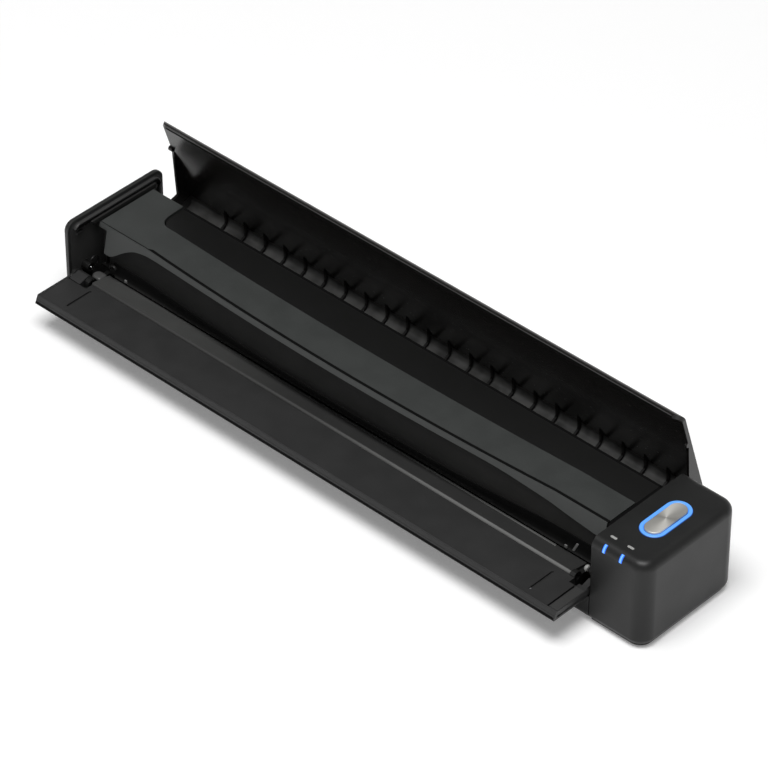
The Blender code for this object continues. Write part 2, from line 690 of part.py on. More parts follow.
def foot_shapes(room):
    """Rubber pads, or with some room around them the pockets that they sit in."""
    shapes = []
    start = -OVERRUN if room else -FOOT_DROP
    for x in (FOOT_INSETS[0], BODY_LENGTH - FOOT_INSETS[1]):
        for y in (FOOT_Y_INSET, BODY_DEPTH - FOOT_Y_INSET):
            plan = stadium(y, x, FOOT_WIDTH + room * 2, FOOT_LENGTH + room * 2, 5)
            plan = [(u, v) for v, u in plan]
            shapes.append(prism(plan, start, FOOT_SINK + room, "z"))
    return shapes


def left_end_cap(body, plastic):
    """The end wall: a rounded plate with a boss for the cover's hinge pin and the flap's own pin."""
    rings = []
    steps = 3
    for i in range(steps + 1):
        a = math.radians(90.0 * i / steps)
        inset = CAP_EDGE_ROUND * (1 - math.sin(a))
        x = CAP_EDGE_ROUND * (1 - math.cos(a))
        radius = CAP_CORNER - inset
        outline = rounded_profile(inset, BODY_DEPTH - inset, inset, BODY_HEIGHT - inset, radius, radius)
        rings.append(section(outline, x, "x"))
    rings.append(section(outline, CAP_WALL, "x"))
    cap = body.piece("left_end_cap", plastic, loft(rings))
    start = CAP_WALL / 2
    hinge_end = OUTPUT_LEFT - FIT_GAP
    feed_end = SPAN_LEFT + FEED_KNUCKLE_WIDTH / 2
    body.fuse(
        cap,
        prism(circle(COVER_HINGE_Y, COVER_HINGE_Z, CAP_BOSS_RADIUS), start, hinge_end),
        prism(circle(FEED_HINGE_Y, FEED_HINGE_Z, FEED_KNUCKLE_RADIUS), start, feed_end),
        box(
            start, CAP_WALL + CAP_NUB_SIZE[0],
            FEED_THICKNESS + FIT_GAP, FEED_THICKNESS + FIT_GAP + CAP_NUB_SIZE[1],
            BODY_HEIGHT - CAP_NUB_DROP, BODY_HEIGHT - CAP_NUB_DROP + CAP_NUB_SIZE[2],
        ),
    )
    pin = circle(FEED_HINGE_Y, FEED_HINGE_Z, FEED_PIN_RADIUS)
    body.fuse(cap, prism(pin, feed_end - FIT_GAP, RIB_LEFT + FEED_PIN_REST))
    hole = circle(COVER_HINGE_Y, COVER_HINGE_Z, COVER_PIN_RADIUS + FIT_GAP)
    body.cut(cap, prism(hole, start, hinge_end + OVERRUN))
    return cap


def right_housing(body, plastic):
    """The control block's hood: one moulding, open below, with rounded top edges."""
    low = 0.0
    foot_inset = HOUSING_WALL * HOUSING_FOOT_SHARE
    outer = []
    for i in range(ROUND_STEPS + 1):
        a = math.radians(90.0 * i / ROUND_STEPS)
        inset = TOP_FILLET * (1 - math.sin(a))
        z = BODY_HEIGHT - TOP_FILLET * (1 - math.cos(a))
        outer.append(section(block_plan(inset, BLOCK_X), z, "z"))
    for i in range(1, ROUND_STEPS + 1):
        a = math.radians(90.0 * i / ROUND_STEPS)
        inset = FOOT_FILLET * (1 - math.cos(a))
        if inset > foot_inset:
            break
        outer.append(section(block_plan(inset, BLOCK_X), low + FOOT_FILLET * (1 - math.sin(a)), "z"))
    outer.append(section(block_plan(foot_inset, BLOCK_X), low, "z"))
    inner_left = BLOCK_X + HOUSING_WALL
    inner = []
    for i in range(ROUND_STEPS + 1):
        a = math.radians(90.0 * i / ROUND_STEPS)
        radius = TOP_FILLET - HOUSING_WALL
        inset = HOUSING_WALL + radius * (1 - math.sin(a))
        z = BLOCK_TOP_INNER - radius * (1 - math.cos(a))
        inner.append(section(block_plan(inset, inner_left), z, "z"))
    inner.append(section(block_plan(HOUSING_WALL, inner_left), low, "z"))
    hood = body.piece("right_housing", plastic, loft(outer + inner[::-1]))
    post_x = BLOCK_X + RING_X
    post_low = BUTTON_BOARD_TOP + FIT_GAP
    post_high = BLOCK_TOP_INNER + HOUSING_WALL / 2
    reach = RING_LENGTH / 2 + RING_FLANGE + FIT_GAP + POST_RADIUS
    posts = []
    for side in (-1, 1):
        ring = circle(post_x, RING_Y + side * reach, POST_RADIUS * BOARD_POST_SHARE, 10)
        posts.append(prism(ring, post_low, post_high, "z"))
    for x, y in screw_places()[-2:]:
        posts.append(prism(circle(x, y, BLOCK_POST_RADIUS, 12), TRAY_FLOOR + FIT_GAP, post_high, "z"))
    flap_pin = circle(FEED_HINGE_Y, FEED_HINGE_Z, FEED_PIN_RADIUS)
    pin_end = RIB_RIGHT + BEARING_RIB_WIDTH - FEED_PIN_REST
    posts.append(prism(flap_pin, pin_end, BLOCK_X + HOUSING_WALL / 2))
    body.fuse(hood, *posts)
    wall_low = BLOCK_X - OVERRUN
    wall_high = BLOCK_X + HOUSING_WALL + FIT_GAP
    holes = [
        prism(circle(FEED_AXIS_Y, FEED_AXIS_Z, BUSH_RADIUS), wall_low, wall_high),
        prism(circle(EJECT_AXIS_Y, EJECT_AXIS_Z, BUSH_RADIUS), wall_low, wall_high),
        prism(circle(COVER_HINGE_Y, COVER_HINGE_Z, COVER_PIN_RADIUS + FIT_GAP), wall_low, wall_high),
    ]
    ring_hole = stadium(post_x, RING_Y, RING_WIDTH + FIT_GAP * 2, RING_LENGTH + FIT_GAP * 2)
    holes.append(prism(ring_hole, BLOCK_TOP_INNER - OVERRUN, BODY_HEIGHT + OVERRUN, "z"))
    half = SOCKET_WIDTH / 2 + FIT_GAP
    rise = SOCKET_HEIGHT / 2 + FIT_GAP
    x = BLOCK_X + SOCKET_X
    inside = BODY_DEPTH - HOUSING_WALL - FIT_GAP
    holes.append(box(x - half, x + half, inside, BODY_DEPTH + OVERRUN, SOCKET_Z - rise, SOCKET_Z + rise))
    body.cut(hood, *holes)
    margin = HOUSING_WALL
    body.cut(
        hood,
        box(wall_low, wall_high, margin, BODY_DEPTH - margin, -OVERRUN, TRAY_FLOOR + FIT_GAP),
        *window_shapes(FIT_GAP),
        *screw_shapes(FIT_GAP)[-2:],
    )
    return hood


def window_shapes(room):
    """Bent light windows that wrap the front edge of the block, or their openings."""
    centre = (TOP_FILLET, BODY_HEIGHT - TOP_FILLET)
    spread = math.degrees(room / TOP_FILLET)
    outer = TOP_FILLET + (OVERRUN if room else 0.0)
    inner = TOP_FILLET - WINDOW_DEPTH - (OVERRUN / 2 if room else 0.0)
    shapes = []
    for x in WINDOW_X:
        outline = arc(*centre, outer, WINDOW_START - spread, WINDOW_END + spread, 4)
        outline += arc(*centre, inner, WINDOW_END + spread, WINDOW_START - spread, 4)
        half = WINDOW_WIDTH / 2 + room
        shapes.append(prism(outline, BLOCK_X + x - half, BLOCK_X + x + half))
    return shapes


def paper_bed(body, plastic):
    """The lower paper guide: a nose behind the flap, a flat bed and the roller windows."""
    nose = BED_NOSE_RADIUS
    outline = [(FEED_HINGE_Y - nose, TRAY_FRONT_TOP + FIT_GAP)]
    outline += [(FEED_HINGE_Y + nose, TRAY_FRONT_TOP + FIT_GAP), (FEED_HINGE_Y + nose * 2, BED_LOW)]
    outline += [(BED_REAR, BED_LOW), (BED_REAR, BED_TOP), (BED_STEP_REAR, BED_TOP)]
    outline.append((BED_STEP_REAR - BED_STEP_DROP, BED_TOP - BED_STEP_DROP))
    outline += [(BED_LIP_Y, BED_TOP - BED_STEP_DROP), (BED_LIP_Y, BED_TOP)]
    outline += arc(FEED_HINGE_Y, FEED_HINGE_Z, nose, 75.0, 180.0)
    bed = body.piece("paper_bed", plastic, prism(outline, BED_LEFT, BED_RIGHT))
    posts = []
    for x, y in screw_places()[:4]:
        ring = circle(x, y, POST_RADIUS, 12)
        posts.append(prism(ring, TRAY_FLOOR + FIT_GAP, BED_LOW + BED_THICKNESS / 4, "z"))
    body.fuse(bed, *posts)
    windows = []
    half = TYRE_WIDTH / 2 + FIT_GAP * 2
    for x in tyre_places():
        for y, radius in ((FEED_AXIS_Y, FEED_TYRE_RADIUS), (EJECT_AXIS_Y, EJECT_TYRE_RADIUS)):
            near = y - radius - FIT_GAP
            far = y + radius + FIT_GAP
            windows.append(box(x - half, x + half, near, far, BED_LOW - OVERRUN, BED_TOP + OVERRUN))
    strip_left = BED_LEFT + STRIP_END_INSET - FIT_GAP
    strip_right = BED_RIGHT - STRIP_END_INSET + FIT_GAP
    low = BED_TOP - STRIP_THICKNESS - FIT_GAP
    front = STRIP_FRONT - FIT_GAP
    pocket = box(strip_left, strip_right, front, STRIP_REAR + FIT_GAP, low, BED_TOP + OVERRUN)
    body.cut(bed, *windows)
    body.cut(bed, pocket)
    body.cut(bed, *screw_shapes(FIT_GAP)[:4])
    return bed


def tyre_places():
    return [BED_LEFT + (BED_RIGHT - BED_LEFT) * share for share in TYRE_SHARES]


def roller_set(body, name, axis_y, axis_z, radius, metal, rubber):
    """A steel shaft in a moulded rubber sleeve with a wide tyre at each window of the bed."""
    body.piece(name + "_shaft", metal, prism(circle(axis_y, axis_z, SHAFT_RADIUS), SHAFT_LEFT, SHAFT_RIGHT))
    places = tyre_places()
    core = SHAFT_RADIUS + FIT_GAP + SLEEVE_WALL
    steps = stepped(core, radius, TYRE_WIDTH, places[0] - SLEEVE_REACH, places[-1] + SLEEVE_REACH)
    body.piece(name + "_tyres", rubber, sleeve(axis_y, axis_z, SHAFT_RADIUS + FIT_GAP, steps))


def pinch_roller(body, name, axis_y, plastic):
    """A one-piece idle roller: a thin shaft with the drums that press the sheet down."""
    steps = stepped(PINCH_SHAFT_RADIUS, PINCH_RADIUS, PINCH_WIDTH, UNIT_LEFT + FIT_GAP, UNIT_RIGHT - FIT_GAP)
    rings = [section(circle(axis_y, PINCH_Z, radius, 14), x, "x") for radius, x in steps]
    body.piece(name, plastic, loft(rings))


def gear_outline(centre, teeth, phase):
    """Straight-sided teeth round a centre; phase is the angle of one tooth's middle."""
    pitch_radius = GEAR_MODULE * teeth / 2
    root = pitch_radius - GEAR_MODULE * DEDENDUM_SHARE
    tip = pitch_radius + GEAR_MODULE * ADDENDUM_SHARE
    step = 360.0 / teeth
    points = []
    for k in range(teeth):
        middle = phase + step * k
        corners = [(root, -TOOTH_ROOT_SHARE), (tip, -TOOTH_TIP_SHARE)]
        corners += [(tip, TOOTH_TIP_SHARE), (root, TOOTH_ROOT_SHARE)]
        for radius, share in corners:
            a = math.radians(middle + step * share)
            points.append((centre[0] + radius * math.cos(a), centre[1] + radius * math.sin(a)))
    return points


def gear(body, name, plastic, centre, teeth, phase, bore):
    """A spur gear with a round bore."""
    item = body.piece(name, plastic, prism(gear_outline(centre, teeth, phase), GEAR_LEFT, GEAR_RIGHT))
    body.cut(item, prism(circle(*centre, bore, 14), GEAR_LEFT - OVERRUN, GEAR_RIGHT + OVERRUN))
    return item


def meshed_phase(centre, teeth, phase, other, other_teeth):
    """The phase that puts another gear's gaps on this gear's teeth."""
    towards = math.degrees(math.atan2(other[1] - centre[1], other[0] - centre[0]))
    step = 360.0 / teeth
    past = (phase - towards) % step
    return towards + 180.0 - past * teeth / other_teeth + 180.0 / other_teeth


def gear_distance(teeth, other_teeth):
    return GEAR_MODULE * (teeth + other_teeth) / 2


def idler_centre():
    """The point above the two roller shafts that is one gear distance from both."""
    reach = gear_distance(ROLLER_TEETH, IDLER_TEETH)
    dy = EJECT_AXIS_Y - FEED_AXIS_Y
    dz = EJECT_AXIS_Z - FEED_AXIS_Z
    apart = math.hypot(dy, dz)
    rise = math.sqrt(reach ** 2 - (apart / 2) ** 2)
    return (FEED_AXIS_Y + dy / 2 - dz / apart * rise, FEED_AXIS_Z + dz / 2 + dy / apart * rise)


def pinion_centre():
    a = math.radians(PINION_DIRECTION)
    reach = gear_distance(PINION_TEETH, IDLER_TEETH)
    y, z = idler_centre()
    return (y + reach * math.cos(a), z + reach * math.sin(a))


def drive_bracket(body, metal):
    """A steel angle that carries the idler's stud and the motor."""
    centre = idler_centre()
    low = TRAY_FLOOR + FIT_GAP
    outline = rectangle(BRACKET_FRONT, BRACKET_REAR, low, BRACKET_TOP)
    plate = prism(outline, BRACKET_X, BRACKET_X + BRACKET_PLATE)
    bracket = body.piece("drive_bracket", metal, plate)
    foot_left = BRACKET_X + BRACKET_PLATE / 2
    foot_right = BRACKET_X + BRACKET_FOOT
    foot = box(foot_left, foot_right, BRACKET_FRONT, BRACKET_REAR, low, low + BRACKET_PLATE)
    stud = prism(circle(*centre, STUD_RADIUS, 12), GEAR_LEFT - FIT_GAP, BRACKET_X + BRACKET_PLATE / 2)
    body.fuse(bracket, foot, stud)
    hole = circle(*pinion_centre(), MOTOR_BOSS_RADIUS + FIT_GAP, 14)
    body.cut(bracket, prism(hole, BRACKET_X - OVERRUN, BRACKET_X + BRACKET_PLATE + OVERRUN))
    return bracket


def drive_motor(body, metal):
    """The motor can with its front bearing boss and the hole for its shaft."""
    centre = pinion_centre()
    can = prism(circle(*centre, MOTOR_RADIUS, 20), MOTOR_X, MOTOR_X + MOTOR_LENGTH)
    motor = body.piece("drive_motor", metal, can)
    boss_ring = circle(*centre, MOTOR_BOSS_RADIUS, 14)
    boss = prism(boss_ring, MOTOR_X - MOTOR_BOSS_LENGTH, MOTOR_X + MOTOR_BOSS_LENGTH)
    body.fuse(motor, boss)
    hole = circle(*centre, MOTOR_SHAFT_RADIUS + FIT_GAP, 12)
    body.cut(motor, prism(hole, MOTOR_X - OVERRUN, MOTOR_X + MOTOR_SHAFT_SEAT + FIT_GAP))
    return motor


def light_ring(body, glass):
    """The lit ring round the scan button, with a flange under the hood."""
    x = BLOCK_X + RING_X
    outer = [stadium(x, RING_Y, RING_WIDTH + RING_FLANGE * 2, RING_LENGTH + RING_FLANGE * 2)]
    outer.append(stadium(x, RING_Y, RING_WIDTH, RING_LENGTH))
    bore = stadium(x, RING_Y, RING_WIDTH - RING_BAND * 2, RING_LENGTH - RING_BAND * 2)
    flange_top = RING_FLANGE_LOW + RING_FLANGE_HEIGHT
    top = BODY_HEIGHT + RING_PROUD
    rings = [section(outer[0], RING_FLANGE_LOW, "z"), section(outer[0], flange_top, "z")]
    rings += [section(outer[1], flange_top, "z"), section(outer[1], top, "z")]
    ring = body.piece("light_ring", glass, loft(rings))
    body.cut(ring, prism(bore, RING_FLANGE_LOW - OVERRUN, top + OVERRUN, "z"))
    return ring


def scan_button(body, metal):
    """The pressed metal button: domed cap, body and retaining flange."""
    x = BLOCK_X + RING_X
    width = RING_WIDTH - RING_BAND * 2 - FIT_GAP * 2
    length = RING_LENGTH - RING_BAND * 2 - FIT_GAP * 2
    top = BODY_HEIGHT + BUTTON_PROUD
    wide = stadium(x, RING_Y, width + BUTTON_FLANGE * 2, length + BUTTON_FLANGE * 2)
    plain = stadium(x, RING_Y, width, length)
    small = stadium(x, RING_Y, width - BUTTON_DOME * 2, length - BUTTON_DOME * 2)
    flange_top = BUTTON_LOW + BUTTON_FLANGE_HEIGHT
    rings = [section(wide, BUTTON_LOW, "z"), section(wide, flange_top, "z"), section(plain, flange_top, "z")]
    rings += [section(plain, top - BUTTON_DOME, "z"), section(small, top, "z")]
    return body.piece("scan_button", metal, loft(rings))


def button_electronics(body, green, dark):
    """The board under the button with its push switch."""
    x = BLOCK_X + RING_X
    left = BLOCK_X + BUTTON_BOARD_LEFT
    right = BODY_LENGTH - HOUSING_WALL - FIT_GAP * 3
    front = BUTTON_BOARD_MARGIN + HOUSING_WALL
    rear = BODY_DEPTH - HOUSING_WALL - BUTTON_BOARD_MARGIN
    low = BUTTON_BOARD_TOP - BOARD
    body.piece("button_board", green, box(left, right, front, rear, low, BUTTON_BOARD_TOP))
    half = SWITCH_SIDE / 2
    case_low = BUTTON_BOARD_TOP + FIT_GAP
    case_top = case_low + SWITCH_HEIGHT
    shape = box(x - half, x + half, RING_Y - half, RING_Y + half, case_low, case_top)
    case = body.piece("button_switch", dark, shape)
    plunger = circle(x, RING_Y, PLUNGER_RADIUS, 12)
    body.fuse(case, prism(plunger, case_low + SWITCH_HEIGHT / 2, SWITCH_TOP, "z"))


def charging_socket(body, metal, green):
    """The small charging inlet: a folded sheet shell with a tongue, on its own board."""
    x = BLOCK_X + SOCKET_X
    half = SOCKET_WIDTH / 2
    rise = SOCKET_HEIGHT / 2
    rear = BODY_DEPTH - FIT_GAP
    front = rear - SOCKET_DEPTH
    block = box(x - half, x + half, front, rear, SOCKET_Z - rise, SOCKET_Z + rise)
    shell = body.piece("usb_socket", metal, block)
    sheet = SOCKET_SHEET
    room = half - sheet
    open_low = SOCKET_Z - rise + sheet
    open_high = SOCKET_Z + rise - sheet
    body.cut(shell, box(x - room, x + room, front + sheet, rear + OVERRUN, open_low, open_high))
    tongue = TONGUE_HEIGHT / 2
    reach = half - TONGUE_INSET
    near = front + sheet / 2
    body.fuse(shell, box(x - reach, x + reach, near, rear - sheet, SOCKET_Z - tongue, SOCKET_Z + tongue))
    left = BLOCK_X + IO_BOARD_LEFT
    board_rear = BODY_DEPTH - HOUSING_WALL - FIT_GAP * 2
    top = SOCKET_Z - rise - FIT_GAP
    board_front = board_rear - IO_BOARD_DEPTH
    board = box(left, left + IO_BOARD_LENGTH, board_front, board_rear, top - BOARD, top)
    body.piece("io_board", green, board)


def tray_contents(body, dark, grey, white, steel):
    """Battery, flap switch, sheet sensor, white strip, bushes, pins, screws and pads."""
    low = TRAY_FLOOR + FIT_GAP
    rear = BATTERY_FRONT + BATTERY_DEPTH
    cell = rounded_profile(BATTERY_FRONT, rear, low, low + BATTERY_HEIGHT, BATTERY_ROUND, BATTERY_ROUND, 3)
    body.piece("battery_pack", grey, prism(cell, BATTERY_LEFT, BATTERY_LEFT + BATTERY_LENGTH))
    width, depth, height = COVER_SWITCH_SIZE
    front = FOOT_FILLET + FIT_GAP
    switch = box(COVER_SWITCH_X, COVER_SWITCH_X + width, front, front + depth, low, low + height)
    body.piece("cover_switch", dark, switch)
    width, depth, height = PAPER_SENSOR_SIZE
    top = BED_LOW - FIT_GAP
    front = PAPER_SENSOR_Y
    sensor = box(PAPER_SENSOR_X, PAPER_SENSOR_X + width, front, front + depth, top - height, top)
    body.piece("paper_sensor", dark, sensor)
    left = BED_LEFT + STRIP_END_INSET
    right = BED_RIGHT - STRIP_END_INSET
    strip = box(left, right, STRIP_FRONT, STRIP_REAR, BED_TOP - STRIP_THICKNESS, BED_TOP)
    body.piece("reference_strip", white, strip)
    bushes = []
    for x in (RIB_LEFT, RIB_RIGHT):
        for y, z in ((FEED_AXIS_Y, FEED_AXIS_Z), (EJECT_AXIS_Y, EJECT_AXIS_Z)):
            steps = [(BUSH_RADIUS, x), (BUSH_RADIUS, x + BEARING_RIB_WIDTH)]
            bushes.append(sleeve(y, z, SHAFT_RADIUS + RUN_GAP, steps))
    body.copies("shaft_bush", white, bushes)
    pin = circle(COVER_HINGE_Y, COVER_HINGE_Z, COVER_PIN_RADIUS)
    inner = UNIT_LEFT + FRAME_END + FIT_GAP
    outer = CAP_WALL / 2 + FIT_GAP
    inner_right = UNIT_RIGHT - FRAME_END - FIT_GAP
    pins = [prism(pin, outer, inner), prism(pin, inner_right, BLOCK_X + HOUSING_WALL)]
    body.copies("cover_hinge_pin", steel, pins)
    body.copies("base_screw", steel, screw_shapes(0.0))


def feed_guide(body, plastic, liner_plastic):
    """The flap: a skin with thick ends, knuckles and a lip, and the liner the paper slides on."""
    root = FEED_HINGE_Z + FEED_ROOT_LIFT
    thick = FEED_THICKNESS
    lip_low = FEED_TOP - FEED_LIP_DEPTH
    outline = [(0.0, root), (0.0, FEED_TOP), (thick, FEED_TOP - FEED_LIP_DROP), (thick, lip_low)]
    outline += [(FEED_SKIN, lip_low), (FEED_SKIN, root)]
    right = SPAN_RIGHT
    guide = body.piece("feed_guide", plastic, prism(outline, SPAN_LEFT, right))
    left_inner = SPAN_LEFT + FEED_END
    right_inner = right - FEED_END
    end = rectangle(FEED_SKIN / 2, thick, root, FEED_TOP - FEED_LIP_DROP * 2)
    body.fuse(guide, prism(end, SPAN_LEFT, left_inner), prism(end, right_inner, right))
    shoulder = FEED_HINGE_Z + FEED_KNUCKLE_RADIUS + FEED_END_LIFT
    clear_left = (SPAN_LEFT - OVERRUN, BED_LEFT + FIT_GAP)
    clear_right = (BED_RIGHT - FIT_GAP, right + OVERRUN)
    reliefs = []
    for ends in (clear_left, clear_right):
        reliefs.append(box(*ends, -OVERRUN, thick + OVERRUN, root - OVERRUN, shoulder))
    body.cut(guide, *reliefs)
    knuckle = arc(FEED_HINGE_Y, FEED_HINGE_Z, FEED_KNUCKLE_RADIUS, 180.0, 360.0, 8)
    knuckle += [(thick, shoulder + FEED_ARM_RISE), (FEED_SKIN / 3, shoulder + FEED_ARM_RISE)]
    knuckle_left = SPAN_LEFT + FEED_KNUCKLE_WIDTH / 2 + FIT_GAP
    body.fuse(
        guide,
        prism(knuckle, knuckle_left, RIB_LEFT - FIT_GAP),
        prism(knuckle, right - FIT_GAP - FEED_KNUCKLE_WIDTH, right - FIT_GAP),
    )
    bore = circle(FEED_HINGE_Y, FEED_HINGE_Z, FEED_PIN_RADIUS + FIT_GAP)
    body.cut(guide, prism(bore, SPAN_LEFT - OVERRUN, right + OVERRUN))
    liner_outline = rectangle(FEED_SKIN + FIT_GAP, thick, root + FIT_GAP, lip_low - FIT_GAP)
    liner_shape = prism(liner_outline, left_inner + FIT_GAP, right_inner - FIT_GAP)
    liner = body.piece("feed_guide_liner", liner_plastic, liner_shape)
    marks = []
    for x in (GUIDE_MARK_LEFT, right - GUIDE_MARK_RIGHT):
        marks.append(box(
            x, x + GUIDE_MARK_WIDTH, thick - GUIDE_MARK_DEPTH, thick + OVERRUN,
            GUIDE_MARK_TOP - GUIDE_MARK_LENGTH, GUIDE_MARK_TOP,
        ))
    body.cut(liner, *marks)
    lift = FEED_ARM_RISE + FIT_GAP
    for ends in (clear_left, clear_right):
        body.cut(liner, box(*ends, -OVERRUN, thick + OVERRUN, root - OVERRUN, shoulder + lift))


def output_guide(body, plastic):
    """The rear cover: one bent skin with end gussets, detents and a comb of low fins inside."""
    skin = OUTPUT_SKIN
    front = TOP_FILLET
    rear = OUTPUT_REAR_FILLET
    rings = []
    for x, turn in lip_stations():
        outline = arc(front, BODY_HEIGHT - front, front, 90.0 + turn, 90.0, 5)
        outline += arc(BODY_DEPTH - rear, BODY_HEIGHT - rear, rear, 90.0, 0.0, 6)
        outline += [(BODY_DEPTH, OUTPUT_TAB_END), (BODY_DEPTH - skin, OUTPUT_TAB_END)]
        outline += arc(BODY_DEPTH - rear, BODY_HEIGHT - rear, rear - skin, 0.0, 90.0, 6)
        outline += arc(front, BODY_HEIGHT - front, front - skin, 90.0, 90.0 + turn, 5)
        rings.append(section(outline, x, "x"))
    guide = body.piece("output_guide", plastic, loft(rings))
    into = skin / 2
    top = SHELL_TOP_INNER + into
    back = BODY_DEPTH - into
    gusset = [(GUSSET_START, top), (COVER_HINGE_Y - COVER_LUG_RADIUS, BODY_HEIGHT - GUSSET_REAR_DROP)]
    gusset += arc(COVER_HINGE_Y, COVER_HINGE_Z, COVER_LUG_RADIUS, 180.0, 300.0, 8)
    gusset += [(back, OUTPUT_TAB_END + into), (back, BODY_HEIGHT - rear), (BODY_DEPTH - rear, top)]
    detent = circle(DETENT_Y, SHELL_TOP_INNER, DETENT_RADIUS, 10)
    left = OUTPUT_LEFT + GUSSET_WIDTH
    right = OUTPUT_RIGHT - GUSSET_WIDTH
    body.fuse(guide, prism(gusset, OUTPUT_LEFT, left), prism(gusset, right, OUTPUT_RIGHT))
    body.fuse(guide, prism(detent, OUTPUT_LEFT - DETENT_REACH, left), prism(detent, right, OUTPUT_RIGHT))
    corner = rear - skin - FIN_HEIGHT
    fin = [(FIN_FRONT, top), (BODY_DEPTH - rear, top), (back, BODY_HEIGHT - rear), (back, FIN_FOOT)]
    fin.append((BODY_DEPTH - skin, FIN_FOOT))
    fin += arc(BODY_DEPTH - rear, BODY_HEIGHT - rear, corner, 0.0, 90.0, 3)
    fin.append((FIN_FRONT, SHELL_TOP_INNER))
    last = right - FIN_END_GAP
    count = int((last - left - FIN_START_GAP) / FIN_PITCH + FIN_ROUNDING_SHARE)
    fins = []
    for i in range(count):
        x = last - FIN_WIDTH - FIN_PITCH * i
        fins.append(prism(fin, x, x + FIN_WIDTH))
    body.fuse(guide, *fins)
    bore = circle(COVER_HINGE_Y, COVER_HINGE_Z, COVER_PIN_RADIUS + FIT_GAP)
    tab_low = OUTPUT_TAB_END - OVERRUN
    body.cut(
        guide,
        prism(bore, OUTPUT_LEFT - OVERRUN, left + OVERRUN),
        prism(bore, right - OVERRUN, OUTPUT_RIGHT + OVERRUN),
        box(TAB_LEFT, TAB_RIGHT, BODY_DEPTH - rear, BODY_DEPTH + OVERRUN, tab_low, OUTPUT_REAR_END),
    )
    return guide


def lip_stations():
    """Places along the rear cover and how far its lip turns down there, rounded at both ends."""
    ends = []
    for i in range(ROUND_STEPS + 1):
        a = math.radians(90.0 * i / ROUND_STEPS)
        ends.append((TOP_FILLET * (1 - math.cos(a)), min(90.0 * i / ROUND_STEPS, OUTPUT_LIP_TURN)))
    left = [(OUTPUT_LEFT + reach, turn) for reach, turn in ends]
    right = [(OUTPUT_RIGHT - reach, turn) for reach, turn in reversed(ends)]
    return left + right


def upper_frame(body, plastic):
    """The upper unit's chassis: slotted floor, rear wall and end plates with hinge lugs."""
    low = FRAME_FLOOR_LOW
    inner_rear = FRAME_REAR - FRAME_WALL
    outline = [(FRAME_FRONT, low), (FRAME_REAR, low), (FRAME_REAR, FRAME_TOP), (inner_rear, FRAME_TOP)]
    outline += [(inner_rear, FRAME_FLOOR_TOP), (FRAME_FRONT, FRAME_FLOOR_TOP)]
    frame = body.piece("upper_frame", plastic, prism(outline, UNIT_LEFT, UNIT_RIGHT))
    into = FRAME_FLOOR / 2
    front_low = FRAME_FRONT + MOUTH_WALL
    front_top = CREASE_MIDDLE_Y + CREASE_BOW + MOUTH_SETBACK + MOUTH_WALL
    end = [(front_low, low + into), (COVER_HINGE_Y - COVER_LUG_RADIUS, low + into)]
    end += arc(COVER_HINGE_Y, COVER_HINGE_Z, COVER_LUG_RADIUS, 220.0, 430.0, 12)
    end.append((FRAME_REAR - FRAME_WALL / 2, FRAME_TOP))
    end += [(front_top, FRAME_TOP), (front_low, MOUTH_KNEE)]
    left = UNIT_LEFT + FRAME_END
    right = UNIT_RIGHT - FRAME_END
    body.fuse(frame, prism(end, UNIT_LEFT, left), prism(end, right, UNIT_RIGHT))
    cuts = []
    half = PINCH_WIDTH / 2 + FIT_GAP * 2
    reach = PINCH_RADIUS + FIT_GAP
    cut_top = FRAME_FLOOR_TOP + FRAME_FLOOR
    for x in tyre_places():
        for y in (FEED_AXIS_Y, EJECT_AXIS_Y):
            cuts.append(box(x - half, x + half, y - reach, y + reach, low - OVERRUN, cut_top))
    slot_left = UNIT_LEFT + SENSOR_END_INSET - FIT_GAP
    slot_right = UNIT_RIGHT - SENSOR_END_INSET + FIT_GAP
    slot_front = SENSOR_FRONT - FIT_GAP
    slot_rear = SENSOR_REAR + FIT_GAP
    cuts.append(box(slot_left, slot_right, slot_front, slot_rear, low - OVERRUN, cut_top))
    body.cut(frame, *cuts)
    bores = []
    for x in (UNIT_LEFT, right):
        for y, z, radius in (
            (COVER_HINGE_Y, COVER_HINGE_Z, COVER_PIN_RADIUS + FIT_GAP),
            (FEED_AXIS_Y, PINCH_Z, PINCH_SHAFT_RADIUS + RUN_GAP),
            (EJECT_AXIS_Y, PINCH_Z, PINCH_SHAFT_RADIUS + RUN_GAP),
        ):
            bores.append(prism(circle(y, z, radius), x - OVERRUN, x + FRAME_END + OVERRUN))
    body.cut(frame, *bores)
    return frame


def cover_stations():
    """Places along the top cover where its outline changes."""
    reach = UNIT_RIGHT - FACE_LEFT
    places = [UNIT_LEFT, FACE_LEFT - FIT_GAP, FACE_LEFT]
    places += [FACE_LEFT + reach * share for share, height in MOUTH_STATION_SHARES[1:]]
    places += [GROOVE_LEFT, GROOVE_LEFT + GROOVE_FADE, DECK_LEFT - FIT_GAP, DECK_LEFT]
    places += [DECK_LEFT + DECK_CORNER * share for share in DECK_CORNER_SHARES]
    return sorted(places)


def cover_rear_y(x):
    """Rear edge of the grey cover: the whole depth at the left, then the edge of the deck."""
    if x < DECK_LEFT - FIT_GAP / 2:
        return DECK_REAR
    front = deck_front_y(x)
    past = min((x - DECK_LEFT) / DECK_CORNER, 1.0)
    return front + DECK_CORNER * (1 - math.sqrt(1 - (1 - past) ** 2))


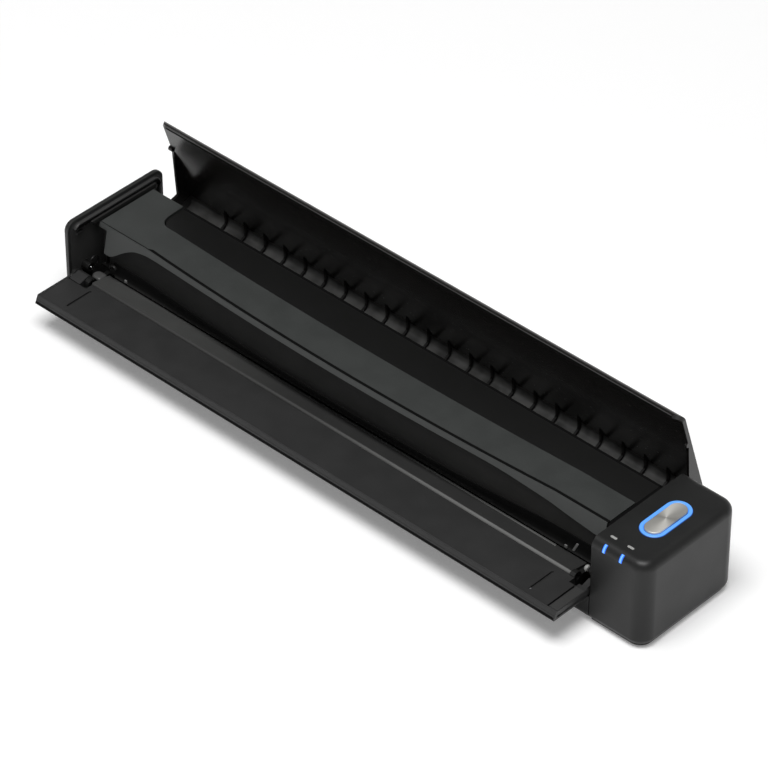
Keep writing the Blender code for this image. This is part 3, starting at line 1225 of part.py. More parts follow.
def top_cover(body, plastic):
    """The grey top: flat, with a bowed front edge, a groove behind it and an arched front face."""
    rings = []
    top = UNIT_TOP
    for x in cover_stations():
        crease = crease_y(x)
        rear = cover_rear_y(x)
        low = mouth_top_z(x)
        if x < FACE_LEFT - FIT_GAP / 2:
            low = top - COVER_SKIN * COVER_END_SHARE
        depth = GROOVE_DEPTH * max(0.0, min((x - GROOVE_LEFT) / GROOVE_FADE, 1.0))
        edge = crease + GROOVE_SETBACK
        inner = top - COVER_SKIN
        round_off = GROOVE_SETBACK / 2
        past = edge + GROOVE_WIDTH
        outline = [(face_y(x, low), low), (face_y(x, top - round_off), top - round_off)]
        outline += [(crease + round_off, top), (edge, top), (edge, top - depth)]
        outline += [(past, top - depth), (past, top)]
        outline += [(rear, top), (rear, inner), (edge + GROOVE_WIDTH + COVER_SKIN, inner)]
        shelf = inner - depth * GROOVE_BACK_SHARE
        outline += [(edge + GROOVE_WIDTH, shelf), (face_y(x, shelf) + COVER_SKIN, shelf - round_off / 2)]
        outline += [(face_y(x, low) + COVER_SKIN, low)]
        rings.append(section(outline, x, "x"))
    return body.piece("top_cover", plastic, loft(rings))


def top_deck(body, plastic):
    """The dark deck behind the grey cover, set a little lower."""
    left = DECK_LEFT + FIT_GAP
    right = UNIT_RIGHT
    steps = 14
    plan = [(right, DECK_REAR), (left, DECK_REAR)]
    for share in (0.0, 0.1, 0.3, 0.6):
        x = left + DECK_CORNER * share
        plan.append((x, cover_rear_y(x - FIT_GAP) + FIT_GAP))
    start = left + DECK_CORNER
    for i in range(steps + 1):
        x = start + (right - start) * i / steps
        plan.append((x, deck_front_y(x) + FIT_GAP))
    top = UNIT_TOP - DECK_DROP
    return body.piece("top_deck", plastic, prism(plan, top - DECK_SKIN, top, "z"))


def mouth_face(body, plastic):
    """The dark inner face over the paper mouth, parallel to the grey face and curved in below."""
    rings = []
    left = MOUTH_LEFT
    right = UNIT_RIGHT - MOUTH_RIGHT_GAP
    steps = 16
    for i in range(steps + 1):
        x = left + (right - left) * i / steps
        upper = face_y(x, MOUTH_TOP) + MOUTH_SETBACK
        knee = face_y(x, MOUTH_KNEE) + MOUTH_SETBACK
        foot = FRAME_FRONT - FIT_GAP
        bend = foot - MOUTH_WALL
        low = FRAME_FLOOR_LOW
        outline = [(upper, MOUTH_TOP), (knee, MOUTH_KNEE), (knee, MOUTH_LOWER)]
        outline.append((knee + (bend - knee) * MOUTH_BEND_SHARE, low + MOUTH_WALL * MOUTH_BEND_RISE_SHARE))
        outline += [(bend, low), (foot, low)]
        outline.append((foot, low + MOUTH_WALL))
        outline += [(knee + MOUTH_WALL, MOUTH_LOWER), (knee + MOUTH_WALL, MOUTH_KNEE)]
        outline += [(upper + MOUTH_WALL, MOUTH_TOP)]
        rings.append(section(outline, x, "x"))
    return body.piece("mouth_face", plastic, loft(rings))


def sensor_unit(body, dark, glass):
    """The contact image sensor: a long housing, with bosses for the board and a glass below."""
    left = UNIT_LEFT + SENSOR_END_INSET
    right = UNIT_RIGHT - SENSOR_END_INSET
    block = box(left, right, SENSOR_FRONT, SENSOR_REAR, SENSOR_LOW, SENSOR_TOP)
    housing = body.piece("sensor_housing", dark, block)
    standoffs = []
    for x in (MAIN_BOARD_LEFT + STANDOFF_INSET, MAIN_BOARD_LEFT + MAIN_BOARD_LENGTH - STANDOFF_INSET):
        ring = circle(x, (SENSOR_FRONT + SENSOR_REAR) / 2, STANDOFF_RADIUS, 10)
        standoffs.append(prism(ring, SENSOR_TOP - STANDOFF_RADIUS, SENSOR_TOP + STANDOFF_HEIGHT, "z"))
    body.fuse(housing, *standoffs)
    inset = GLASS_INSET
    top = SENSOR_LOW - FIT_GAP
    pane = box(left + inset, right - inset, SENSOR_FRONT + inset, SENSOR_REAR - inset, GLASS_LOW, top)
    body.piece("sensor_glass", glass, pane)


def main_electronics(body, green, dark):
    """The main board on the sensor's bosses, with its chips."""
    right = MAIN_BOARD_LEFT + MAIN_BOARD_LENGTH
    board_low = SENSOR_TOP + STANDOFF_HEIGHT + FIT_GAP
    board_rear = MAIN_BOARD_FRONT + MAIN_BOARD_DEPTH
    board = box(MAIN_BOARD_LEFT, right, MAIN_BOARD_FRONT, board_rear, board_low, board_low + BOARD)
    body.piece("main_board", green, board)
    chip_low = board_low + BOARD + FIT_GAP
    chips = []
    for (length, depth), (share_x, share_y) in zip(CHIP_SIZES, CHIP_PLACE_SHARES):
        x = MAIN_BOARD_LEFT + MAIN_BOARD_LENGTH * share_x
        y = MAIN_BOARD_FRONT + MAIN_BOARD_DEPTH * share_y
        long = length / 2
        wide = depth / 2
        chips.append(box(x - long, x + long, y - wide, y + wide, chip_low, chip_low + CHIP_HEIGHT))
    body.copies("board_chip", dark, chips)


def pinch_springs(body, steel):
    """Two bent strips that press the middles of the idle rollers' shafts down."""
    shapes = []
    strip = SPRING_STRIP
    arm_low = PINCH_Z + PINCH_SHAFT_RADIUS + FIT_GAP
    foot = FRAME_FLOOR_TOP + FIT_GAP
    middle = (tyre_places()[1] + tyre_places()[2]) / 2
    leg_feed = (SENSOR_FRONT - FIT_GAP + FEED_AXIS_Y + PINCH_RADIUS + FIT_GAP) / 2
    leg_eject = (SENSOR_REAR + FIT_GAP + EJECT_AXIS_Y - PINCH_RADIUS - FIT_GAP) / 2
    for leg, side in ((leg_feed, -1), (leg_eject, 1)):
        near = leg - side * strip / 2
        far = leg + side * strip / 2
        tip = leg + side * SPRING_ARM
        outline = [(near, foot), (far, foot), (far, arm_low), (tip, arm_low)]
        outline += [(tip, arm_low + strip), (near, arm_low + strip)]
        shapes.append(prism(outline, middle - SPRING_WIDTH / 2, middle + SPRING_WIDTH / 2))
    body.copies("pinch_spring", steel, shapes)


def footprint_centre():
    """The middle of the open scanner's footprint, which stands over the origin."""
    front = FEED_HINGE_Y + FEED_HINGE_Z - FEED_TOP
    corner = (BODY_DEPTH - OUTPUT_REAR_FILLET, BODY_HEIGHT - OUTPUT_REAR_FILLET)
    opened = turned(corner, (COVER_HINGE_Y, COVER_HINGE_Z), -OUTPUT_OPEN_ANGLE)
    back = opened[0] + OUTPUT_REAR_FILLET
    return (BODY_LENGTH / 2, (front + back) / 2)


def clear_scene():
    for item in list(bpy.data.objects):
        bpy.data.objects.remove(item, do_unlink=True)


def build():
    clear_scene()
    origin = bpy.data.objects.new("scanner_origin", None)
    bpy.context.scene.collection.objects.link(origin)
    centre = footprint_centre()
    origin.location = (-centre[0], -centre[1], FOOT_DROP)

    black = finish("black_plastic", (0.013, 0.013, 0.013), 0.42)
    soft_black = finish("soft_black_plastic", (0.022, 0.022, 0.022), 0.5)
    charcoal = finish("charcoal_plastic", (0.036, 0.037, 0.037), 0.45)
    gloss_black = finish("gloss_black_plastic", (0.008, 0.007, 0.007), 0.2)
    grey = finish("graphite_plastic", (0.052, 0.056, 0.054), 0.5)
    white = finish("white_plastic", (0.75, 0.75, 0.73), 0.45)
    rubber = finish("black_rubber", (0.02, 0.02, 0.02), 0.85)
    steel = finish("steel", (0.6, 0.6, 0.6), 0.3, 1.0)
    silver = finish("brushed_silver", (0.62, 0.61, 0.57), 0.3, 1.0)
    glass = finish("clear_glass", (0.8, 0.9, 0.88), 0.05, alpha=0.35)
    blue = finish("lit_blue", (0.12, 0.4, 1.0), 0.3, glow=(0.12, 0.4, 1.0))
    green = finish("board_green", (0.02, 0.16, 0.07), 0.45)
    chip = finish("chip_black", (0.02, 0.02, 0.022), 0.4)
    brass = finish("brass", (0.7, 0.5, 0.2), 0.35, 1.0)
    wrap = finish("battery_wrap", (0.10, 0.16, 0.32), 0.5)

    base = Body("base", origin)
    unit = Body("top_unit", origin, (0.0, COVER_HINGE_Y, COVER_HINGE_Z))
    output = Body("output_guide", origin, (0.0, COVER_HINGE_Y, COVER_HINGE_Z), -OUTPUT_OPEN_ANGLE)
    feed = Body("feed_guide", origin, (0.0, FEED_HINGE_Y, FEED_HINGE_Z), FEED_OPEN_ANGLE)
    button = Body("scan_button", origin, (BLOCK_X + RING_X, RING_Y, BUTTON_LOW))
    feed_roller = Body("feed_roller", origin, (0.0, FEED_AXIS_Y, FEED_AXIS_Z))
    eject_roller = Body("eject_roller", origin, (0.0, EJECT_AXIS_Y, EJECT_AXIS_Z))
    feed_pinch = Body("feed_pinch", origin, (0.0, FEED_AXIS_Y, PINCH_Z))
    eject_pinch = Body("eject_pinch", origin, (0.0, EJECT_AXIS_Y, PINCH_Z))
    idler = Body("idler", origin, (0.0, *idler_centre()))
    pinion = Body("pinion", origin, (0.0, *pinion_centre()))

    base_tray(base, charcoal)
    left_end_cap(base, charcoal)
    right_housing(base, charcoal)
    paper_bed(base, soft_black)
    drive_bracket(base, steel)
    drive_motor(base, steel)
    light_ring(base, blue)
    base.copies("status_window", blue, window_shapes(0.0))
    button_electronics(base, green, chip)
    charging_socket(base, steel, green)
    tray_contents(base, chip, wrap, white, steel)
    base.copies("rubber_foot", rubber, foot_shapes(0.0))

    upper_frame(unit, black)
    top_cover(unit, grey)
    top_deck(unit, black)
    mouth_face(unit, black)
    sensor_unit(unit, chip, glass)
    main_electronics(unit, green, chip)
    pinch_springs(unit, steel)
    output_guide(output, gloss_black)
    feed_guide(feed, soft_black, soft_black)
    scan_button(button, silver)

    roller_set(feed_roller, "feed_roller", FEED_AXIS_Y, FEED_AXIS_Z, FEED_TYRE_RADIUS, steel, rubber)
    roller_set(eject_roller, "eject_roller", EJECT_AXIS_Y, EJECT_AXIS_Z, EJECT_TYRE_RADIUS, steel, rubber)
    pinch_roller(feed_pinch, "feed_pinch_roller", FEED_AXIS_Y, soft_black)
    pinch_roller(eject_pinch, "eject_pinch_roller", EJECT_AXIS_Y, soft_black)

    feed_centre = (FEED_AXIS_Y, FEED_AXIS_Z)
    eject_centre = (EJECT_AXIS_Y, EJECT_AXIS_Z)
    middle = idler_centre()
    bore = SHAFT_RADIUS + FIT_GAP
    idler_phase = meshed_phase(feed_centre, ROLLER_TEETH, 0.0, middle, IDLER_TEETH)
    eject_phase = meshed_phase(middle, IDLER_TEETH, idler_phase, eject_centre, ROLLER_TEETH)
    pinion_phase = meshed_phase(middle, IDLER_TEETH, idler_phase, pinion_centre(), PINION_TEETH)
    gear(feed_roller, "feed_gear", white, feed_centre, ROLLER_TEETH, 0.0, bore)
    gear(eject_roller, "eject_gear", white, eject_centre, ROLLER_TEETH, eject_phase, bore)
    gear(idler, "idler_gear", white, middle, IDLER_TEETH, idler_phase, STUD_RADIUS + RUN_GAP)
    pinion_bore = MOTOR_SHAFT_RADIUS + FIT_GAP
    gear(pinion, "motor_pinion", brass, pinion_centre(), PINION_TEETH, pinion_phase, pinion_bore)
    shaft = circle(*pinion_centre(), MOTOR_SHAFT_RADIUS, 12)
    pinion.piece("motor_shaft", steel, prism(shaft, GEAR_LEFT - FIT_GAP, MOTOR_X + MOTOR_SHAFT_SEAT))


build()
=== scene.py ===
"""The looks of a portable document scanner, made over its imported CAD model.

Places are written in millimetres in the body's own axes: X runs from the end cap to the
control block, Y from the front to the back and Z up, with both guides shut. The function
`placed` moves them to the model's frame, where the two guides stand open.
"""
import json
import math

import bmesh
import bpy
from mathutils import Matrix, Vector


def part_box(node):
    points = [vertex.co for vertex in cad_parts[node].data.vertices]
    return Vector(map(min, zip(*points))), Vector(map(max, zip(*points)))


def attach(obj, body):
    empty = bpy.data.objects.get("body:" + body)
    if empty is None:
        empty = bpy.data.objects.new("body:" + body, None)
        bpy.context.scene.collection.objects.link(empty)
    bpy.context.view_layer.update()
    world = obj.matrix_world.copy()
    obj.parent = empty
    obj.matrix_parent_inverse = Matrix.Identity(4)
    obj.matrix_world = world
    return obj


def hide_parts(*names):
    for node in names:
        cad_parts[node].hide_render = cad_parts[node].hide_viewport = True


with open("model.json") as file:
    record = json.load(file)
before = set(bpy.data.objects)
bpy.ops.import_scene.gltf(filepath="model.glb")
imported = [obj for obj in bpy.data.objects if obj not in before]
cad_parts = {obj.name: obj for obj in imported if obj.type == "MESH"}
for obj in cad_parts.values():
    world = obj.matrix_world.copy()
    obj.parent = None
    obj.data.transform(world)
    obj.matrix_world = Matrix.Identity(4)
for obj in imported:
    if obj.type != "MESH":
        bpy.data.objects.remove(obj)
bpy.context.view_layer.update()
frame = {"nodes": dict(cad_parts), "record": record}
NODES = frame["nodes"]

bl_info = {
    "name": "Portable document scanner",
    "version": (1, 0, 0),
    "blender": (4, 5, 0),
    "location": "View3D > Sidebar > Scanner",
    "description": "Dresses the scanner's CAD model with its shells, trim, lights and studio",
    "category": "Add Mesh",
}

# Places of the body in millimetres
BODY_ORIGIN = (-136.5, -20.593, 0.6)
COVER_HINGE = (40.0, 17.6)
COVER_KNUCKLE = 3.2
COVER_BORE = 1.8
OUTPUT_TURN = -72.5
FEED_HINGE = (2.4, 13.2)
FEED_KNUCKLE = 2.2
FEED_TURN = 90.0
BODY_END = 273.0
BODY_REAR = 47.5
BODY_TOP = 36.0
BLOCK_LEFT = 249.7
BLOCK_ROUND = 3.5
SHAFTS = ((15.2, 8.5), (32.2, 9.0))
SHAFT_HOLE = 2.6
UNIT_LEFT = 7.0
UNIT_RIGHT = 247.8
UNIT_REAR = 38.1
UNIT_TOP = 33.8
GUIDE_LEFT = 5.7
GUIDE_RIGHT = 249.1
FACE_LEFT = 11.2
COVER_RIGHT = 246.6
MOUTH_BEND = 10.1
MOUTH_RISE = 10.5
RING_WIDTH = 10.0
RING_LENGTH = 22.0
RING_BAND = 1.5
WINDOW_SPAN = (123.0, 176.0)
MARKS = (254.6, 261.9)

# The camera's place in metres, and the angle in degrees from which an edge counts as sharp
CAMERA_PLACE = (0.83067, -0.880933, 1.00627)
SHARP = 34.0

# A bevel in metres that is wider than any small piece. It is held back to what fits, so that the piece
# comes out as round as it can
FULL_ROUND = 0.5

CUT = "DIFFERENCE"
JOIN = "UNION"


def still():
    """From the body's millimetres to the model's frame."""
    return Matrix.Translation(Vector(BODY_ORIGIN) * 0.001) @ Matrix.Scale(0.001, 4)


def swung(hinge, angle):
    """Like still, with a guide turned open about its hinge line."""
    centre = Vector((0.0, *hinge))
    turn = Matrix.Rotation(math.radians(angle), 4, "X")
    return still() @ Matrix.Translation(centre) @ turn @ Matrix.Translation(-centre)


PLACES = {
    "base": still(),
    "top_unit": still(),
    "scan_button": still(),
    "output_guide": swung(COVER_HINGE, OUTPUT_TURN),
    "feed_guide": swung(FEED_HINGE, FEED_TURN),
}


def placed(body, x, y, z):
    """A place in body millimetres as a vector in the model's frame."""
    return PLACES[body] @ Vector((x, y, z))


def in_body(place):
    """A place of the model's frame in body millimetres, for a piece that stands still."""
    return Vector(place) * 1000 - Vector(BODY_ORIGIN)


def middle_of(node):
    """The middle of a CAD node, in the model's frame."""
    low, high = (Vector(corner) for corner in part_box(node))
    return (low + high) / 2


# Properties


def length_property(name, description, default):
    return bpy.props.FloatProperty(name=name, description=description, default=default, unit="LENGTH")


def angle_property(name, description, degrees):
    return bpy.props.FloatProperty(
        name=name, description=description, default=math.radians(degrees), unit="ROTATION")


def colour_property(name, description, default):
    return bpy.props.FloatVectorProperty(
        name=name, description=description, default=default, subtype="COLOR", size=3)


class ScannerSizes(bpy.types.PropertyGroup):
    """Sizes that change how soft or how detailed the scanner looks."""

    edge: length_property("Edge round", "Round on the edges of the moulded pieces", 0.00018)
    fine_edge: length_property("Fine edge round", "Round on small and thin pieces", 0.0001)
    fin_count: bpy.props.IntProperty(
        name="Fins", description="Number of fins inside the output guide", default=23, min=2)
    fin_pitch: length_property("Fin pitch", "Distance from fin to fin", 0.01)
    grain: length_property("Moulded grain", "Size of the spark grain of the plastic", 0.00035)


class ScannerColours(bpy.types.PropertyGroup):
    """Colours of the scanner's finishes, as linear values."""

    charcoal: colour_property("Charcoal", "Control block, end cap and tray", (0.0158, 0.0160, 0.0157))
    graphite: colour_property("Graphite", "Grey top cover", (0.040, 0.043, 0.0415))
    deck: colour_property("Deck black", "Dark deck and frame", (0.0062, 0.0062, 0.0060))
    guide: colour_property("Guide black", "Polished output guide", (0.0084, 0.0074, 0.0068))
    flap: colour_property("Flap black", "Feed guide and paper bed", (0.0225, 0.0225, 0.0225))
    silver: colour_property("Button silver", "Scan button", (0.50, 0.49, 0.46))
    light: colour_property("Lit blue", "Ring and status windows", (0.12, 0.38, 1.0))


class StudioSettings(bpy.types.PropertyGroup):
    """Floor, lamp and camera."""

    floor: colour_property("Floor", "Colour of the floor and its wall", (0.93, 0.93, 0.93))
    floor_lift: bpy.props.FloatProperty(
        name="Floor lift", description="How far the floor is lifted towards white", default=0.2, min=0.0)
    lamp_power: bpy.props.FloatProperty(
        name="Soft box", description="Power of the overhead soft box", default=36.0, unit="POWER")
    lamp_height: length_property("Soft box height", "Height of the soft box over the floor", 2.0)
    surround: bpy.props.FloatProperty(
        name="Surround", description="Level of the even light from all round", default=0.16, min=0.0)
    focal_length: bpy.props.FloatProperty(
        name="Focal length", description="Lens of the camera", default=212.77, unit="CAMERA")
    azimuth: angle_property("Azimuth", "Camera's direction round the scanner", 43.29)
    elevation: angle_property("Elevation", "Camera's height above the horizon", 38.98)


# Materials


class Value:
    """A socket of a finish's tree. Sums and products of these add Math nodes."""

    def __init__(self, finish, socket):
        self.finish = finish
        self.socket = socket

    def math(self, operation, *others):
        values = dict(enumerate((self, *others)))
        return self.finish.node("ShaderNodeMath", {"operation": operation}, values)

    def __add__(self, other):
        return self.math("ADD", other)

    __radd__ = __add__

    def __sub__(self, other):
        return self.math("SUBTRACT", other)

    def __mul__(self, other):
        return self.math("MULTIPLY", other)

    def __truediv__(self, other):
        return self.math("DIVIDE", other)

    def __abs__(self):
        return self.math("ABSOLUTE")

    def wave(self):
        """A cosine between 0 and 1."""
        return self.math("COSINE") * 0.5 + 0.5

    def step(self, low, high):
        """0 below low, 1 above high and smooth between them; high below low turns it round."""
        values = {"Value": self, "From Min": low, "From Max": high}
        return self.finish.node("ShaderNodeMapRange", {"interpolation_type": "SMOOTHSTEP"}, values)


class Finish:
    """One material and the calls that fill its tree."""

    def __init__(self, name):
        self.material = bpy.data.materials.new(name)
        self.material.use_nodes = True
        self.tree = self.material.node_tree
        self.shader = self.tree.nodes["Principled BSDF"]

    def node(self, kind, settings=None, inputs=None, output=0):
        """Adds a node: its settings first, then values or links for its sockets."""
        made = self.tree.nodes.new(kind)
        for key, value in (settings or {}).items():
            setattr(made, key, value)
        for key, value in (inputs or {}).items():
            self.feed(made.inputs[key], value)
        return Value(self, made.outputs[output])

    def feed(self, socket, value):
        if isinstance(value, Value):
            self.tree.links.new(value.socket, socket)
        elif socket.type == "RGBA":
            socket.default_value = (*value, 1.0)
        else:
            socket.default_value = value

    def set(self, **sockets):
        """Sets the shader's sockets; base_color means Base Color."""
        for key, value in sockets.items():
            self.feed(self.shader.inputs[key.replace("_", " ").title().replace("Ior", "IOR")], value)

    def place(self, centre=(0.0, 0.0, 0.0), turn=(0.0, 0.0, 0.0)):
        """Object coordinates, measured from a centre and turned."""
        coordinates = self.node("ShaderNodeTexCoord", output="Object")
        moved = self.node("ShaderNodeVectorMath", {"operation": "SUBTRACT"}, {0: coordinates, 1: centre})
        return self.node("ShaderNodeMapping", None, {"Vector": moved, "Rotation": turn})

    def axis(self, name, place=None):
        """One part of a place, which is the plain Object coordinates if none is given."""
        place = place or self.node("ShaderNodeTexCoord", output="Object")
        return self.node("ShaderNodeSeparateXYZ", None, {0: place}, output=name)

    def noise(self, size, detail=2.0, along=1.0, across=1.0, place=None):
        """Noise whose patches are about the given size across, squeezed along or across the X axis."""
        values = {"Vector": place or self.place(), "Scale": (along, across, across)}
        scaled = self.node("ShaderNodeMapping", None, values)
        values = {"Vector": scaled, "Scale": 1.0 / size, "Detail": detail}
        return self.node("ShaderNodeTexNoise", None, values)

    def blend(self, factor, first, second):
        """Mixes two colours."""
        return self.node("ShaderNodeMix", {"data_type": "RGBA"}, {0: factor, 6: first, 7: second}, output=2)

    def bump(self, height, depth):
        """Gives the shader a bump of a real depth in metres."""
        values = {"Height": height, "Distance": depth, "Strength": 1.0}
        self.set(normal=self.node("ShaderNodeBump", None, values))


def lighter(colour, share):
    return tuple(min(1.0, c * share) for c in colour)


def shades(colour, *shares):
    return [lighter(colour, share) for share in shares]


def grained(finish, grain, roughness, specular, depth):
    """Gives a finish the grain of a mould, in its gloss and its surface. Returns the clouds and the grain."""
    clouds = finish.noise(0.011, 3.0).step(0.3, 0.7)
    fine = finish.noise(grain)
    finish.set(
        roughness=roughness + (clouds - 0.5) * 0.05 + (fine - 0.5) * 0.12,
        specular_ior_level=specular,
    )
    finish.bump(fine, depth)
    return clouds, fine


def moulded(name, colour, roughness, grain, depth, specular=0.5, low=None):
    """Spark-textured plastic: fine grain in the surface, slight clouds in colour and gloss.

    With low, shade is painted in: the colour grows darker from that height down to the floor.
    """
    finish = Finish(name)
    clouds, fine = grained(finish, grain, roughness, specular, depth)
    base = finish.blend(clouds, *shades(colour, 0.93, 1.06))
    base = finish.blend(fine.step(0.62, 0.75), base, lighter(colour, 1.35))
    if low:
        # Painted shade: darker from the height low down to the floor
        base = finish.blend(finish.axis("Z").step(low, 0.002), base, lighter(colour, 0.25))
    finish.set(base_color=base)
    return finish.material


def lengthwise(name, left, right, span, grain, roughness=0.42, specular=0.5):
    """Plastic whose colour changes along the scanner, from the end cap towards the control block: painted
    light and shade where light falls unevenly along it.
    """
    finish = Finish(name)
    clouds = grained(finish, grain, roughness, specular, 0.000005)[0]
    plain = finish.blend(finish.axis("X").step(*span), left, right)
    finish.set(base_color=finish.blend(clouds * 0.14, plain, (0.0, 0.0, 0.0)))
    return finish.material


def painted_foot_shade(name):
    """The mouth's foot, with painted shade: near-black at its top under the mouth's roof, and grey down at
    the paper bed, where a painted lit band ends it.
    """
    finish = Finish(name)
    clouds = finish.noise(0.003, 3.0)
    height = finish.axis("Z")
    # Painted shade at the top; lower down, greyer and then a lighter band, painted light
    painted_top_shade = finish.blend(clouds, (0.0009, 0.0009, 0.0009), (0.0020, 0.0020, 0.0019))
    grey = finish.blend(clouds, (0.006, 0.006, 0.0058), (0.010, 0.010, 0.0098))
    upper = finish.blend(height.step(0.0186, 0.0162), painted_top_shade, grey)
    finish.set(
        base_color=finish.blend(height.step(0.0164, 0.0148), upper, (0.042, 0.042, 0.041)),
        roughness=0.7 + (clouds - 0.5) * 0.2,
        specular_ior_level=0.12,
    )
    finish.bump(clouds, 0.00002)
    return finish.material


def polished(name, colour, roughness, painted_lit_channel=False):
    """Smooth black plastic with faint long flow marks and a few specks of dust.

    With the last flag, the foot of the output guide gets a matt greyer band along it: painted light on the
    rear bend between the fins.
    """
    finish = Finish(name)
    flow = finish.noise(0.004, along=0.12)
    dust = finish.noise(0.0007, 1.0).step(0.74, 0.80)
    base = finish.blend(dust * 0.35, colour, (0.03, 0.029, 0.028))
    gloss = roughness + (flow - 0.5) * 0.06 + dust * 0.1
    if painted_lit_channel:
        # Painted light: the lit matt patches of the rear bend between the fins
        hinge = placed("base", 0.0, *COVER_HINGE)
        place = finish.place(tuple(hinge), (math.radians(-OUTPUT_TURN), 0.0, 0.0))
        depth = finish.axis("Y", place)
        inside = depth.step(0.0014, 0.0040) * depth.step(0.0071, 0.0066)
        inside = inside * finish.axis("Z", place).step(0.0177, 0.0173)
        lit_patches = finish.noise(0.009).step(0.30, 0.68)
        matt = finish.blend(lit_patches, (0.030, 0.030, 0.029), (0.105, 0.105, 0.102))
        base = finish.blend(inside, base, matt)
        gloss = gloss + inside * 0.25
    finish.set(base_color=base, roughness=gloss)
    finish.bump(flow, 0.000012)
    return finish.material


def patchy(name, colours, patches, gloss, band=None, relief=None, depth=0.0, **sockets):
    """A finish between two colours that noise mixes.

    patches and relief say what `noise` is asked for, gloss the roughness and its swing, and band where
    the patches begin and end. Without a relief, the patches move the gloss and the surface too.
    """
    finish = Finish(name)
    mix = finish.noise(*patches)
    raised = finish.noise(*relief) if relief else mix
    if band:
        mix = mix.step(*band)
    roughness, swing = gloss
    if swing:
        roughness = roughness + (raised - 0.5) * swing
    finish.set(base_color=finish.blend(mix, *colours), roughness=roughness, **sockets)
    if depth:
        finish.bump(raised, depth)
    return finish.material


STEEL_RINGS = {
    "patches": (0.006, 3.0), "band": (0.4, 0.7), "relief": (0.0009, 2.0, 1.0, 0.02), "depth": 0.00001,
    "metallic": 1.0,
}
SOFT_CLOUDS = {"patches": (0.002, 3.0), "gloss": (0.45, 0.15), "depth": 0.00001}
PATCHY = {
    # Painted shade: near-black for the gaps and dark lines, where hardly any light comes back
    "gap_black": {
        "colours": ((0.0012, 0.0012, 0.0012), (0.0024, 0.0024, 0.0023)), "patches": (0.002, 3.0),
        "gloss": (0.75, 0.2), "depth": 0.00002, "specular_ior_level": 0.12,
    },
    # Ground rubber: matt, with fine lines along the axis of a roller
    "black_rubber": {
        "colours": ((0.012, 0.012, 0.012), (0.021, 0.021, 0.020)), "patches": (0.003, 3.0),
        "band": (0.45, 0.75), "relief": (0.00045, 2.0, 0.15), "gloss": (0.78, 0.2), "depth": 0.00005,
    },
    # Metals ground with fine rings round the X axis
    "steel": {"colours": shades((0.55, 0.55, 0.56), 0.9, 1.05), "gloss": (0.28, 0.16), **STEEL_RINGS},
    "brass": {"colours": shades((0.62, 0.42, 0.16), 0.9, 1.05), "gloss": (0.3, 0.16), **STEEL_RINGS},
    # Natural moulded plastic for gears and bushes
    "pale_plastic": {"colours": shades((0.36, 0.36, 0.35), 0.93, 1.03), **SOFT_CLOUDS},
    "white_plastic": {"colours": shades((0.62, 0.62, 0.60), 0.93, 1.03), **SOFT_CLOUDS},
    "gold_contact": {
        "colours": ((0.75, 0.48, 0.16), (0.88, 0.62, 0.25)), "patches": (0.0008, 2.0),
        "gloss": (0.30, 0.1), "metallic": 1.0,
    },
    # The battery's blue wrap, with soft wrinkles
    "battery_wrap": {
        "colours": ((0.04, 0.08, 0.20), (0.07, 0.13, 0.28)), "patches": (0.004, 3.0, 0.25),
        "gloss": (0.375, 0.15), "depth": 0.00012,
    },
    # Glass with a faint green edge and slight haze
    "clear_glass": {
        "colours": ((0.55, 0.72, 0.66), (0.65, 0.80, 0.74)), "patches": (0.01, 2.0),
        "gloss": (0.065, 0.05), "alpha": 0.45,
    },
    # Worn pale ink of the two plain marks
    "pale_mark": {
        "colours": ((0.30, 0.30, 0.29), (0.46, 0.46, 0.45)), "patches": (0.0002, 2.0), "band": (0.3, 0.7),
        "gloss": (0.5, 0.0),
    },
}


def button_metal(name, colour):
    """Silver that is brushed round its middle, with a painted highlight: the fan of light and dark wedges is
    painted into its colour.
    """
    finish = Finish(name)
    place = finish.place(tuple(middle_of("scan_button")))
    turn = finish.axis("Y", place).math("ARCTAN2", finish.axis("X", place))
    fan = (turn * 2.0 - 4.29).wave()
    thin = (turn * 6.0 + 0.4).wave()
    radius = finish.node("ShaderNodeVectorMath", {"operation": "LENGTH"}, {0: place}, output="Value")
    rings = (radius * 2.0 * math.pi / 0.00022).wave()
    hairs = finish.noise(0.0006, place=place)
    # Painted highlight: light and dark wedges round the middle
    painted_sheen = finish.blend(fan * fan * 0.85 + thin * 0.15, *shades(colour, 0.62, 1.5))
    finish.set(
        base_color=finish.blend(rings * 0.10, painted_sheen, lighter(colour, 0.8)),
        metallic=0.3,
        roughness=0.34 + (hairs - 0.5) * 0.12 + fan * 0.06,
    )
    finish.bump(rings, 0.000006)
    return finish.material


def lit_ring(name, colour):
    """The glowing ring: full blue at its rims and paler over its crown."""
    finish = Finish(name)
    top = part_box("light_ring")[1][2]
    place = finish.place(tuple(middle_of("light_ring")))
    crown = finish.axis("Z").step(top - 0.0005, top + 0.00005)
    patch = finish.noise(0.005, 1.0, place=place)
    beyond = (abs(finish.axis("Y", place)) - 0.006).math("MAXIMUM", 0.0)
    aside = finish.axis("X", place)
    rim = (beyond * beyond + aside * aside).math("SQRT").step(0.00472, 0.00498)
    glow = finish.blend(crown, (0.04, 0.22, 0.90), lighter(colour, 1.1))
    lit = finish.blend((patch - 0.35) * 0.5, glow, (0.20, 0.50, 1.0))
    finish.set(
        base_color=(0.02, 0.06, 0.2),
        emission_color=finish.blend(rim, lit, (0.004, 0.035, 0.20)),
        emission_strength=0.95,
        roughness=0.35,
    )
    return finish.material


def lit_window(name, node):
    """A small glowing window, white-hot along its middle and blue at its rim."""
    finish = Finish(name)
    across = abs(finish.axis("X", finish.place(tuple(middle_of(node)))))
    glow = finish.blend(across.step(0.00055, 0.0001), (0.01, 0.10, 0.75), (0.22, 0.55, 1.0))
    finish.set(base_color=(0.02, 0.1, 0.4), emission_color=glow, emission_strength=1.0, roughness=0.3)
    return finish.material


